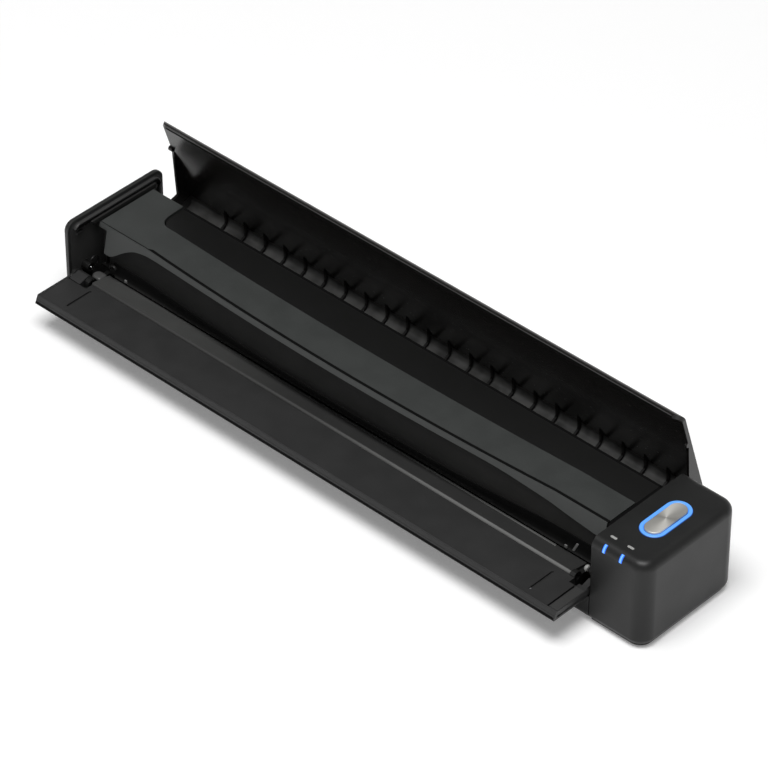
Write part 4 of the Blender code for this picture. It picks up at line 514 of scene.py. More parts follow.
def circuit_board(name):
    """Green lacquer over a pattern of tracks."""
    finish = Finish(name)
    values = {"Vector": finish.place(), "Scale": 420.0, "Randomness": 0.0}
    cells = finish.node("ShaderNodeTexVoronoi", {"distance": "CHEBYCHEV"}, values, output="Distance")
    tracks = cells.step(0.36, 0.40)
    finish.set(
        base_color=finish.blend(tracks, (0.008, 0.075, 0.03), (0.02, 0.15, 0.06)),
        roughness=0.3 + tracks * 0.12,
    )
    finish.bump(tracks, 0.00002)
    return finish.material


def floor_paper(name, colour, lift):
    """Pale studio paper, lifted towards white where the camera or a gloss sees it."""
    finish = Finish(name)
    soft = finish.noise(0.9)
    seen, mirrored, through = (finish.node("ShaderNodeLightPath", output=f"Is {kind} Ray")
                               for kind in ("Camera", "Glossy", "Transmission"))
    finish.set(
        base_color=finish.blend(soft, *shades(colour, 0.995, 1.0)),
        roughness=0.9 + (soft - 0.5) * 0.05,
        specular_ior_level=0.2,
        emission_color=finish.blend(seen + mirrored + through, (0.0, 0.0, 0.0), (lift, lift, lift)),
        emission_strength=1.0,
    )
    return finish.material


MATERIALS = {}


def make_materials():
    """Every finish by the name of its slot in the record, and a few for added details."""
    colours = bpy.context.scene.scanner_colours
    grain = bpy.context.scene.scanner_sizes.grain
    # Colour, roughness, share of the grain, depth, specular, and the height below which painted shade darkens
    # it
    moulds = {
        "charcoal_plastic": (colours.charcoal, 0.42, 1.0, 0.000006, 0.34, 0.032),
        "graphite_plastic": (colours.graphite, 0.46, 1.0, 0.000007, 0.45),
        "black_plastic": (colours.deck, 0.40, 0.8, 0.000005, 0.4),
        "soft_black_plastic": (colours.flap, 0.48, 1.0, 0.000007, 0.45),
        "deck_grey": ((0.011, 0.011, 0.0105), 0.5, 1.0, 0.000006, 0.4),
        # A lighter copy of the charcoal for the end cap: painted light
        "cap_charcoal": (lighter(colours.charcoal, 1.5), 0.42, 1.0, 0.000006, 0.4, 0.032),
        "strip_grey": ((0.040, 0.040, 0.0395), 0.46, 1.0, 0.000006, 0.45),
        # Painted highlight grey for the mouth's end clip and the gap's nubs
        "worn_edge": ((0.19, 0.19, 0.187), 0.40, 0.7, 0.000006),
        # Painted highlight grey for the guide's edge line and the bed's end shoe
        "worn_ridge": ((0.062, 0.062, 0.061), 0.42, 0.7, 0.000006),
        "chip_black": ((0.015, 0.015, 0.016), 0.38, 0.6, 0.000004),
    }
    # Painted light and shade along the scanner: colours at the left and at the right, span between them,
    # share of the grain, roughness, specular
    runs = {
        "deck_black": ((0.0064, 0.0064, 0.0062), (0.0086, 0.0086, 0.0083), (0.02, 0.11), 0.8, 0.40, 0.4),
        "mouth_black": ((0.0066, 0.0066, 0.0063), (0.0140, 0.0137, 0.0130), (0.01, 0.10), 1.0, 0.55, 0.18),
        # Painted highlights on the bed's nose and ridge, brighter towards the control block
        "nose_wear": ((0.044, 0.044, 0.043), (0.155, 0.155, 0.152), (-0.04, 0.08), 1.0),
        "ridge_wear": ((0.042, 0.042, 0.041), (0.088, 0.088, 0.086), (-0.06, 0.06), 1.0),
        "bed_grey": ((0.062, 0.063, 0.061), (0.033, 0.033, 0.0325), (-0.09, -0.02), 1.0),
    }
    others = {
        # The guide's polish, with its band of painted light at the foot
        "gloss_black_plastic": (polished, colours.guide, 0.24, True),
        # A darker copy of the guide's black for the fins: painted shade
        "fin_black": (polished, lighter(colours.guide, 0.5), 0.3),
        "foot_black": (painted_foot_shade,),
        "brushed_silver": (button_metal, colours.silver),
        "lit_blue": (lit_ring, colours.light),
        "board_green": (circuit_board,),
        "status_1": (lit_window, "status_window_1"),
        "status_2": (lit_window, "status_window_2"),
    }
    MATERIALS.clear()
    for name, (colour, roughness, share, *rest) in moulds.items():
        MATERIALS[name] = moulded(name, colour, roughness, grain * share, *rest)
    for name, (left, right, span, share, *rest) in runs.items():
        MATERIALS[name] = lengthwise(name, left, right, span, grain * share, *rest)
    for name, (maker, *values) in others.items():
        MATERIALS[name] = maker(name, *values)
    for name, values in PATCHY.items():
        MATERIALS[name] = patchy(name, **values)


# Mesh making


def arc(centre_u, centre_v, radius, start, end, steps):
    points = []
    for i in range(steps + 1):
        a = math.radians(start + (end - start) * i / steps)
        points.append((centre_u + radius * math.cos(a), centre_v + radius * math.sin(a)))
    return points


def circle(centre_u, centre_v, radius, sides=32):
    return arc(centre_u, centre_v, radius, 0.0, 360.0, sides)[:-1]


def rectangle(low_u, high_u, low_v, high_v):
    return [(low_u, low_v), (high_u, low_v), (high_u, high_v), (low_u, high_v)]


def bend(steps, turn=90.0):
    """A round edge of radius 1 in steps: pairs of 1 less the sine and 1 less the cosine of the turn."""
    turns = [math.radians(turn * i / steps) for i in range(steps + 1)]
    return [(1 - math.sin(a), 1 - math.cos(a)) for a in turns]


def rounded(low_u, high_u, low_v, high_v, radius, steps):
    """A rectangle with round corners."""
    outline = []
    for u, v, start in (
        (high_u - radius, low_v + radius, -90.0), (high_u - radius, high_v - radius, 0.0),
        (low_u + radius, high_v - radius, 90.0), (low_u + radius, low_v + radius, 180.0),
    ):
        outline += arc(u, v, radius, start, start + 90.0, steps)
    return outline


def stadium(centre_u, centre_v, width, length, steps=20):
    """A slot outline, longer along v."""
    radius = width / 2
    reach = length / 2 - radius
    top = arc(centre_u, centre_v + reach, radius, 0.0, 180.0, steps)
    return top + arc(centre_u, centre_v - reach, radius, 180.0, 360.0, steps)


def section(outline, place, axis):
    if axis == "x":
        return [(place, u, v) for u, v in outline]
    if axis == "y":
        return [(u, place, v) for u, v in outline]
    return [(u, v, place) for u, v in outline]


def loft(rings, ends=True):
    """A solid through rings of equally many points, closed at both ends or into a loop."""
    count = len(rings[0])
    points = [point for ring in rings for point in ring]
    faces = []
    if ends:
        faces = [tuple(range(count)), tuple(range(len(points) - count, len(points)))]
    for ring in range(len(rings) - (1 if ends else 0)):
        start = ring * count
        after_start = (ring + 1) % len(rings) * count
        for i in range(count):
            after = (i + 1) % count
            faces.append((start + i, start + after, after_start + after, after_start + i))
    return points, faces


def prism(outline, low, high, axis="x"):
    return loft([section(outline, low, axis), section(outline, high, axis)])


def box(low_x, high_x, low_y, high_y, low_z, high_z):
    return prism(rectangle(low_y, high_y, low_z, high_z), low_x, high_x)


def swept(places, outline):
    """A solid through an outline that changes along X."""
    return loft([section(outline(x), x, "x") for x in places])


def mesh_of(name, shapes, move):
    """One mesh from shapes in millimetres, which a matrix takes to its frame."""
    work = bmesh.new()
    for points, faces in shapes:
        corners = [work.verts.new(move @ Vector(point)) for point in points]
        for face in faces:
            work.faces.new([corners[i] for i in face])
    bmesh.ops.recalc_face_normals(work, faces=work.faces)
    data = bpy.data.meshes.new(name)
    work.to_mesh(data)
    work.free()
    return data


def object_of(name, data):
    item = bpy.data.objects.new(name, data)
    bpy.context.scene.collection.objects.link(item)
    return item


def bake(item):
    """Turns an object with its modifiers into a plain mesh."""
    bpy.context.view_layer.update()
    graph = bpy.context.evaluated_depsgraph_get()
    data = bpy.data.meshes.new_from_object(item.evaluated_get(graph))
    item.modifiers.clear()
    old = item.data
    item.data = data
    bpy.data.meshes.remove(old)


def remove(item):
    data = item.data
    bpy.data.objects.remove(item, do_unlink=True)
    bpy.data.meshes.remove(data)


def carve(item, body, shapes, operation):
    """Cuts shapes out of an object, or joins them to it."""
    tools = [object_of("tool", mesh_of("tool", [shape], PLACES[body])) for shape in shapes]
    for tool in tools:
        change = item.modifiers.new("carve", "BOOLEAN")
        change.operation = operation
        change.solver = "EXACT"
        change.object = tool
    bake(item)
    for tool in tools:
        remove(tool)


def smooth(item, sharp=SHARP):
    """Shades an object smooth but for its sharp edges."""
    item.data.shade_smooth()
    item.data.set_sharp_from_angle(angle=math.radians(sharp))


def soften(item, width, segments=2, sharp=SHARP):
    """Rounds the sharp edges by a width in metres and shades the rest smooth."""
    if width > 0:
        change = item.modifiers.new("edges", "BEVEL")
        change.width = width
        change.segments = segments
        change.limit_method = "ANGLE"
        change.angle_limit = math.radians(sharp)
        change.use_clamp_overlap = True
        change.miter_outer = "MITER_ARC"
    bake(item)
    smooth(item, sharp)
    item.modifiers.new("level", "WEIGHTED_NORMAL").keep_sharp = True
    bake(item)


def finished(item, body, material, nodes=()):
    """Gives a piece its finish and its body, and hides what it stands for."""
    item.data.materials.clear()
    item.data.materials.append(MATERIALS[material])
    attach(item, body)
    if nodes:
        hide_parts(*nodes)
    return item


def make(name, shapes, body, material, nodes=(), edge=0.0, segments=2, changes=(), sharp=SHARP):
    """A piece from shapes in body millimetres. Changes are cuts and joins, each with its shapes."""
    item = object_of(name, mesh_of(name, shapes, PLACES[body]))
    for operation, others in changes:
        carve(item, body, others, operation)
    soften(item, edge, segments, sharp)
    return finished(item, body, material, nodes)


def refined(name, node, body, material, edge):
    """A merged copy of a CAD node with its flat faces joined and its edges rounded."""
    work = bmesh.new()
    work.from_mesh(NODES[node].data)
    bmesh.ops.remove_doubles(work, verts=work.verts, dist=0.000001)
    bmesh.ops.dissolve_limit(work, angle_limit=math.radians(0.6), verts=work.verts, edges=work.edges)
    data = bpy.data.meshes.new(name)
    work.to_mesh(data)
    work.free()
    item = object_of(name, data)
    soften(item, edge)
    return finished(item, body, material, (node,))


# Node trees that repeat a piece


def copies_tree(name, inputs, kind):
    """A tree that copies geometry and ends in one Finish.

    Returns it with the sockets of its inputs by name, a node of the given kind that says where the
    copies go or what they are, and the node that makes them.
    """
    tree = bpy.data.node_groups.new(name, "GeometryNodeTree")
    for label, socket in (("Geometry", "Geometry"), *inputs, ("Finish", "Material")):
        tree.interface.new_socket(label, in_out="INPUT", socket_type="NodeSocket" + socket)
    tree.interface.new_socket("Geometry", in_out="OUTPUT", socket_type="NodeSocketGeometry")
    source, first, copies, real, paint, out = (tree.nodes.new(each) for each in (
        "NodeGroupInput", kind, "GeometryNodeInstanceOnPoints", "GeometryNodeRealizeInstances",
        "GeometryNodeSetMaterial", "NodeGroupOutput",
    ))
    tree.links.new(copies.outputs["Instances"], real.inputs["Geometry"])
    tree.links.new(real.outputs["Geometry"], paint.inputs["Geometry"])
    tree.links.new(source.outputs["Finish"], paint.inputs["Material"])
    tree.links.new(paint.outputs["Geometry"], out.inputs["Geometry"])
    return tree, source.outputs, first, copies


def row_of_copies(name):
    """Copies of the incoming geometry in a row: Count of them, Step apart, in one Finish."""
    inputs = (("Count", "Int"), ("Step", "Vector"))
    tree, given, line, copies = copies_tree(name, inputs, "GeometryNodeMeshLine")
    line.mode = "OFFSET"
    tree.links.new(given["Count"], line.inputs["Count"])
    tree.links.new(given["Step"], line.inputs["Offset"])
    tree.links.new(line.outputs["Mesh"], copies.inputs["Points"])
    tree.links.new(given["Geometry"], copies.inputs["Instance"])
    return tree


def copies_on_points(name):
    """Copies of a Pattern object on every point of the incoming mesh, in one Finish."""
    inputs = (("Pattern", "Object"),)
    tree, given, info, copies = copies_tree(name, inputs, "GeometryNodeObjectInfo")
    tree.links.new(given["Pattern"], info.inputs["Object"])
    tree.links.new(given["Geometry"], copies.inputs["Points"])
    tree.links.new(info.outputs["Geometry"], copies.inputs["Instance"])
    return tree


def with_tree(item, name, build, values):
    """Puts a tree on an object, fills its inputs by their identifiers and keeps the result."""
    tree = bpy.data.node_groups.get(name) or build(name)
    change = item.modifiers.new("copies", "NODES")
    change.node_group = tree
    for socket in tree.interface.items_tree:
        if socket.in_out == "INPUT" and socket.name in values:
            change[socket.identifier] = values[socket.name]
    bake(item)
    smooth(item)


def row_of(name, shape, body, material, count, step, edge):
    """A row of like pieces: shape and step in body millimetres."""
    item = object_of(name, mesh_of(name, [shape], PLACES[body]))
    soften(item, edge, 1)
    offset = placed(body, *step) - placed(body, 0.0, 0.0, 0.0)
    values = {"Count": count, "Step": tuple(offset), "Finish": MATERIALS[material]}
    with_tree(item, "row_of_copies", row_of_copies, values)
    return finished(item, body, material)


def on_points(name, shape, body, material, places):
    """Copies of a shape, drawn round the origin in millimetres, at places in body millimetres."""
    pattern = object_of(name + "_pattern", mesh_of(name + "_pattern", [shape], Matrix.Scale(0.001, 4)))
    points = bpy.data.meshes.new(name)
    points.from_pydata([placed(body, *place) for place in places], [], [])
    item = object_of(name, points)
    values = {"Pattern": pattern, "Finish": MATERIALS[material]}
    with_tree(item, "copies_on_points", copies_on_points, values)
    remove(pattern)
    return finished(item, body, material)


# Lines of the body that several pieces share, in millimetres


def within(value):
    """A value held between 0 and 1."""
    return max(0.0, min(value, 1.0))


def bow(x):
    """How far the front lines of the top fall back from their middle, from 0 to 1."""
    share = (x - UNIT_LEFT) / (UNIT_RIGHT - UNIT_LEFT)
    return min(abs(share - 0.5) / 0.4, 1.0) ** 2


def crease_y(x):
    return 8.1 + 3.3 * bow(x)


def face_y(x, z):
    return crease_y(x) - 0.25 * (UNIT_TOP - z)


def deck_front_y(x):
    return 23.3 + 2.1 * bow(x)


MOUTH_ARCH = (
    (0.0, 0.0), (0.012, 0.0), (0.022, 0.12), (0.04, 0.42), (0.06, 0.65), (0.085, 0.75), (0.12, 0.79),
    (0.2, 0.81), (0.35, 0.815), (0.5, 0.815), (0.67, 0.815), (0.76, 0.815), (0.8, 0.79), (0.84, 0.72),
    (0.88, 0.63), (0.925, 0.51), (0.967, 0.43), (1.0, 0.37),
)


def mouth_top_z(x):
    """Lower edge of the lip over the mouth, as a smooth curve through the arch's places."""
    share = within((x - FACE_LEFT) / (UNIT_RIGHT - FACE_LEFT))
    spots = MOUTH_ARCH
    i = next(i for i in range(len(spots) - 1) if share <= spots[i + 1][0])
    (s0, h0), (s1, h1) = spots[i], spots[i + 1]
    before = spots[max(i - 1, 0)]
    after = spots[min(i + 2, len(spots) - 1)]
    slope0 = (h1 - before[1]) / (s1 - before[0])
    slope1 = (after[1] - h0) / (after[0] - s0)
    width = s1 - s0
    t = (share - s0) / width
    start = h0 * (2 * t ** 3 - 3 * t ** 2 + 1) + slope0 * width * (t ** 3 - 2 * t ** 2 + t)
    end = h1 * (3 * t ** 2 - 2 * t ** 3) + slope1 * width * (t ** 3 - t ** 2)
    return UNIT_TOP - MOUTH_RISE + MOUTH_RISE * (start + end)


# The scanner's pieces


class ScannerStudio(bpy.types.Operator):
    """Sets the camera, the pale floor with its wall and the soft box"""

    bl_idname = "scanner.studio"
    bl_label = "Studio"

    def execute(self, context):
        settings = context.scene.scanner_studio
        back = Vector((
            math.sin(settings.azimuth) * math.cos(settings.elevation),
            -math.cos(settings.azimuth) * math.cos(settings.elevation),
            math.sin(settings.elevation),
        ))
        right = (-back).cross(Vector((0.0, 0.0, 1.0))).normalized()
        up = right.cross(-back)
        lens = bpy.data.cameras.new("camera")
        lens.lens = settings.focal_length
        lens.sensor_width = 36.0
        lens.clip_start = 0.05
        lens.clip_end = 30.0
        camera = object_of("camera", lens)
        turn = Matrix((right, up, back)).transposed().to_4x4()
        camera.matrix_world = Matrix.Translation(CAMERA_PLACE) @ turn
        context.scene.camera = camera
        self.floor(settings)
        self.lamps(context, settings)
        context.scene.view_settings.view_transform = "Standard"
        return {"FINISHED"}

    def floor(self, settings):
        """A round floor that curves up into a low wall, so that no horizon shows."""
        flat, curve, wall_top, sides = 3.2, 0.8, 1.5, 72
        sunk = -0.00003  # Keeps the floor a hair below the soles of the feet
        profile = [(0.001, sunk), (0.4, sunk), (1.2, 0.0), (flat, 0.0)]
        profile += arc(flat, curve, curve, -90.0, 0.0, 10)[1:]
        profile.append((flat + curve, wall_top))
        work = bmesh.new()
        rows = [[work.verts.new((*spot, height)) for spot in circle(0.0, 0.0, radius, sides)]
                for radius, height in profile]
        work.faces.new(rows[0])
        for low, high in zip(rows, rows[1:]):
            for i in range(sides):
                after = (i + 1) % sides
                work.faces.new((low[i], high[i], high[after], low[after]))
        for face in work.faces:
            face.normal_update()
            if face.normal.z < 0:
                face.normal_flip()
        data = bpy.data.meshes.new("studio_floor")
        work.to_mesh(data)
        work.free()
        data.shade_smooth()
        data.materials.append(floor_paper("studio_paper", settings.floor, settings.floor_lift))
        object_of("studio_floor", data)

    def lamps(self, context, settings):
        """One big soft box overhead, and the even light of the room."""
        box_light = bpy.data.lights.new("soft_box", "AREA")
        box_light.shape = "RECTANGLE"
        box_light.size = 1.3
        box_light.size_y = 0.9
        box_light.energy = settings.lamp_power
        lamp = object_of("soft_box", box_light)
        lamp.location = Vector((0.2, -0.45, settings.lamp_height))
        lamp.rotation_euler = (-lamp.location).to_track_quat("-Z", "Y").to_euler()
        world = bpy.data.worlds.new("studio_room")
        world.use_nodes = True
        inputs = world.node_tree.nodes["Background"].inputs
        inputs["Color"].default_value = (settings.surround, settings.surround, settings.surround, 1.0)
        inputs["Strength"].default_value = 1.0
        context.scene.world = world


class ScannerFinishes(bpy.types.Operator):
    """Makes the finishes and puts them on every CAD piece by its slot in the record"""

    bl_idname = "scanner.finishes"
    bl_label = "Finishes"

    def execute(self, context):
        make_materials()
        finishes = {part["node"]: part["material_slot"] for part in frame["record"]["subparts"]}
        finishes.update({f"status_window_{number}": f"status_{number}" for number in (1, 2)})
        for node, material in finishes.items():
            if not NODES[node].material_slots:
                raise RuntimeError(f"{node} has no material slot")
            for holder in NODES[node].material_slots:
                holder.material = MATERIALS[material]
        return {"FINISHED"}


class ScannerControlBlock(bpy.types.Operator):
    """Makes the control block's hood with its fine round edges and openings"""

    bl_idname = "scanner.control_block"
    bl_label = "Control block"

    wall = 1.8
    corner = 6.0
    steps = 12

    def ring(self, inset, height, left=BLOCK_LEFT):
        """The block seen from above, at a height."""
        right = BODY_END - inset
        rear = BODY_REAR - inset
        radius = self.corner - inset
        points = [(left, inset)]
        points += arc(right - radius, inset + radius, radius, -90.0, 0.0, self.steps)
        points += arc(right - radius, rear - radius, radius, 0.0, 90.0, self.steps)
        return section(points + [(left, rear)], height, "z")

    def hood(self):
        rim = self.wall * 0.8
        bends = [(BLOCK_ROUND * inset, BLOCK_ROUND * drop) for inset, drop in bend(self.steps)]
        rings = [self.ring(inset, BODY_TOP - drop) for inset, drop in bends]
        rings += [self.ring(inset, height) for height, inset in bends[1:] if inset <= rim]
        rings.append(self.ring(rim, 0.0))
        inner_left = BLOCK_LEFT + self.wall
        for inset, height in ((1.0, 0.0), (1.0, BODY_TOP - self.wall - 0.8), (1.4, BODY_TOP - self.wall)):
            rings.append(self.ring(self.wall * inset, height, inner_left))
        return loft(rings)

    def execute(self, context):
        size = context.scene.scanner_sizes
        ring = in_body(middle_of("light_ring"))
        low, high = map(in_body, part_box("usb_socket"))
        gap = 0.18
        side = (BLOCK_LEFT - 1, BLOCK_LEFT + 2.2)
        cuts = [
            prism(stadium(ring.x, ring.y, RING_WIDTH + 0.16, RING_LENGTH + 0.16), 33.0, 37.0, "z"),
            box(*side, self.wall, BODY_REAR - self.wall, -1.0, 2.3),
            prism(
                rectangle(low.x - gap, high.x + gap, low.z - gap, high.z + gap),
                BODY_REAR - 3.0, BODY_REAR + 1.0, "y",
            ),
        ]
        for number in (1, 2):
            window = in_body(middle_of(f"status_window_{number}"))
            cuts.append(window_shape(window.x, 0.06, 1.2))
        for spot in SHAFTS:
            cuts.append(prism(circle(*spot, SHAFT_HOLE), *side))
        cuts.append(prism(circle(*COVER_HINGE, COVER_BORE), *side))
        make(
            "block_hood", [self.hood()], "base", "charcoal_plastic", ("right_housing",),
            edge=size.edge, changes=((CUT, cuts),),
        )
        return {"FINISHED"}


def window_shape(x, room, out):
    """A bent window that wraps the block's front edge, or with some room its opening."""
    centre = (BLOCK_ROUND, BODY_TOP - BLOCK_ROUND)
    half, depth = 0.65 + room, 1.4 + out / 2
    spread = math.degrees(room / BLOCK_ROUND)
    start, end = WINDOW_SPAN[0] - spread, WINDOW_SPAN[1] + spread
    outline = arc(*centre, BLOCK_ROUND + out, start, end, 16)
    outline += arc(*centre, BLOCK_ROUND - depth, end, start, 16)
    return prism(outline, x - half, x + half)


class ScannerScanButton(bpy.types.Operator):
    """Makes the domed scan button, the lit ring round it, the two lit windows and their plain marks"""

    bl_idname = "scanner.scan_button"
    bl_label = "Scan button and lights"

    def slots(self, width, length, steps):
        """Slot outlines round the ring's middle, each grown by an amount and at a height."""
        middle = in_body(middle_of("light_ring"))
        return [section(stadium(middle.x, middle.y, width + grow, length + grow), height, "z")
                for grow, height in steps]

    def mark(self, x):
        """A small bar that lies along the block's front edge."""
        bar = [(x + v, 5.4 - u) for u, v in stadium(0.0, 0.0, 1.0, 2.7, 6)]
        return prism(bar, BODY_TOP - 0.05, BODY_TOP + 0.02, "z")

    def execute(self, context):
        # The ring: a round crown, and a flange under the hood
        top, crown, seat = BODY_TOP + 0.3, 0.42, 32.9
        steps = [(-RING_BAND * inset, top - crown * drop) for drop, inset in bend(8, 180.0)]
        steps += [(-2 * RING_BAND, seat), (1.8, seat), (1.8, seat + 0.9), (0.0, seat + 1.0)]
        glow = loft(self.slots(RING_WIDTH, RING_LENGTH, steps), ends=False)
        make("ring_glow", [glow], "base", "lit_blue", ("light_ring",), sharp=50.0)

        # The cap: a flange, a round rim and a slightly dipped top
        room = 2 * RING_BAND + 0.3
        width = RING_WIDTH - room
        high, rim, dip = BODY_TOP + 0.7, 0.45, 0.10
        steps = [(1.2, 31.75), (1.2, 32.2), (0.0, 32.3)]
        steps += [(-2 * rim * inset, high - rim * drop) for drop, inset in bend(5)]
        steps += [(-width * (1 - share), high - dip * (1 - share ** 2)) for share in (0.66, 0.33, 0.05)]
        cap = loft(self.slots(width, RING_LENGTH - room, steps))
        make("button_cap", [cap], "scan_button", "brushed_silver", ("scan_button",), sharp=50.0)

        for number in (1, 2):
            node = f"status_window_{number}"
            make(
                f"status_light_{number}", [window_shape(in_body(middle_of(node)).x, 0.0, 0.04)], "base",
                f"status_{number}", (node,), edge=0.00028, segments=3,
            )
        make("window_marks", [self.mark(x) for x in MARKS], "base", "pale_mark")
        return {"FINISHED"}


class ScannerEndCap(bpy.types.Operator):
    """Makes the left end cap with its rounded rim, and the rail, a lighter inner sheet of painted light and
    the ledge inside
    """

    bl_idname = "scanner.end_cap"
    bl_label = "End cap"

    def outline(self, inset, radius):
        return rounded(inset, BODY_REAR - inset, inset, BODY_TOP - inset, radius, 10)

    def execute(self, context):
        size = context.scene.scanner_sizes
        corner = 3.8
        rims = [*bend(6), (0.0, 2.0), (0.2, 2.2)]
        rings = [section(self.outline(inset, corner - inset), x, "x") for inset, x in rims]
        sockets = [
            prism(circle(*COVER_HINGE, COVER_KNUCKLE), 1.1, 5.4),
            prism(circle(*FEED_HINGE, FEED_KNUCKLE), 1.1, 3.6),
            box(1.1, 3.3, 3.7, 6.7, 30.0, 30.9),
        ]
        pin = [prism(circle(*FEED_HINGE, 1.0), 3.3, 10.8)]
        bore = [prism(circle(*COVER_HINGE, COVER_BORE), 1.1, 7.0)]
        # The cap's finish is a lighter copy of the charcoal, painted light
        make(
            "end_cap", [loft(rings)], "base", "cap_charcoal", ("left_end_cap",),
            edge=size.fine_edge, changes=((JOIN, sockets), (JOIN, pin), (CUT, bore)),
        )
        front, back, height = 5.6, BODY_REAR - 5.6, BODY_TOP - 5.0
        rail = [(BODY_REAR - 2.0, 24.0)]
        rail += arc(back, height, 3.6, 0.0, 90.0, 8) + arc(front, height, 3.6, 90.0, 150.0, 6)
        rail += arc(front, height, 2.7, 150.0, 90.0, 6) + arc(back, height, 2.7, 90.0, 0.0, 8)
        rail.append((BODY_REAR - 2.9, 24.0))
        ledge = [(9.5, 33.2), (43.0, 33.2), (43.0, 30.0), (12.0, 30.0)]
        for name, spots, low, high, material, slot in (
            ("cap_rail", rail, 2.0, 3.6, "strip_grey", "charcoal_plastic"),
            # A lighter sheet on the cap's shaded inner face: painted light
            ("cap_liner", self.outline(1.3, 3.0), 2.1, 2.27, "strip_grey", "charcoal_plastic"),
            ("cap_ledge", ledge, 2.1, 4.5, "deck_grey", "black_plastic"),
        ):
            make(name, [prism(spots, low, high)], "base", material, edge=FULL_ROUND)
        return {"FINISHED"}


class ScannerTray(bpy.types.Operator):
    """Softens the tray and dresses its underside with screws and a bare plate"""

    bl_idname = "scanner.tray"
    bl_label = "Tray and underside"

    def execute(self, context):
        size = context.scene.scanner_sizes
        refined("tray_shell", "base_tray", "base", "charcoal_plastic", size.fine_edge)
        plate = prism(rounded(98.0, 176.0, 15.0, 33.0, 1.5, 6), -0.08, 0.3, "z")
        make("underside_plate", [plate], "base", "black_plastic", edge=FULL_ROUND)
        screws = [f"base_screw_{number}" for number in range(1, 7)]
        heads = []
        for screw in screws:
            low, high = map(in_body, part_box(screw))
            heads.append(((low.x + high.x) / 2, (low.y + high.y) / 2, low.z))
            top = high.z - low.z
        head, stem = 1.9, 0.95
        profile = [(head - 0.35, 0.0), (head - 0.1, 0.12), (head, 0.4), (head, 1.1), (stem, 1.15)]
        profile.append((stem, top))
        shape = loft([section(circle(0.0, 0.0, radius, 20), z, "z") for radius, z in profile])
        item = on_points("base_screws", shape, "base", "steel", heads)
        cross = []
        for x, y, z in heads:
            for reach_x, reach_y in ((stem, 0.17), (0.17, stem)):
                cross.append(box(x - reach_x, x + reach_x, y - reach_y, y + reach_y, z - 0.5, z + 0.6))
        carve(item, "base", cross, CUT)
        soften(item, 0.00004, 1)
        finished(item, "base", "steel", screws)
        return {"FINISHED"}


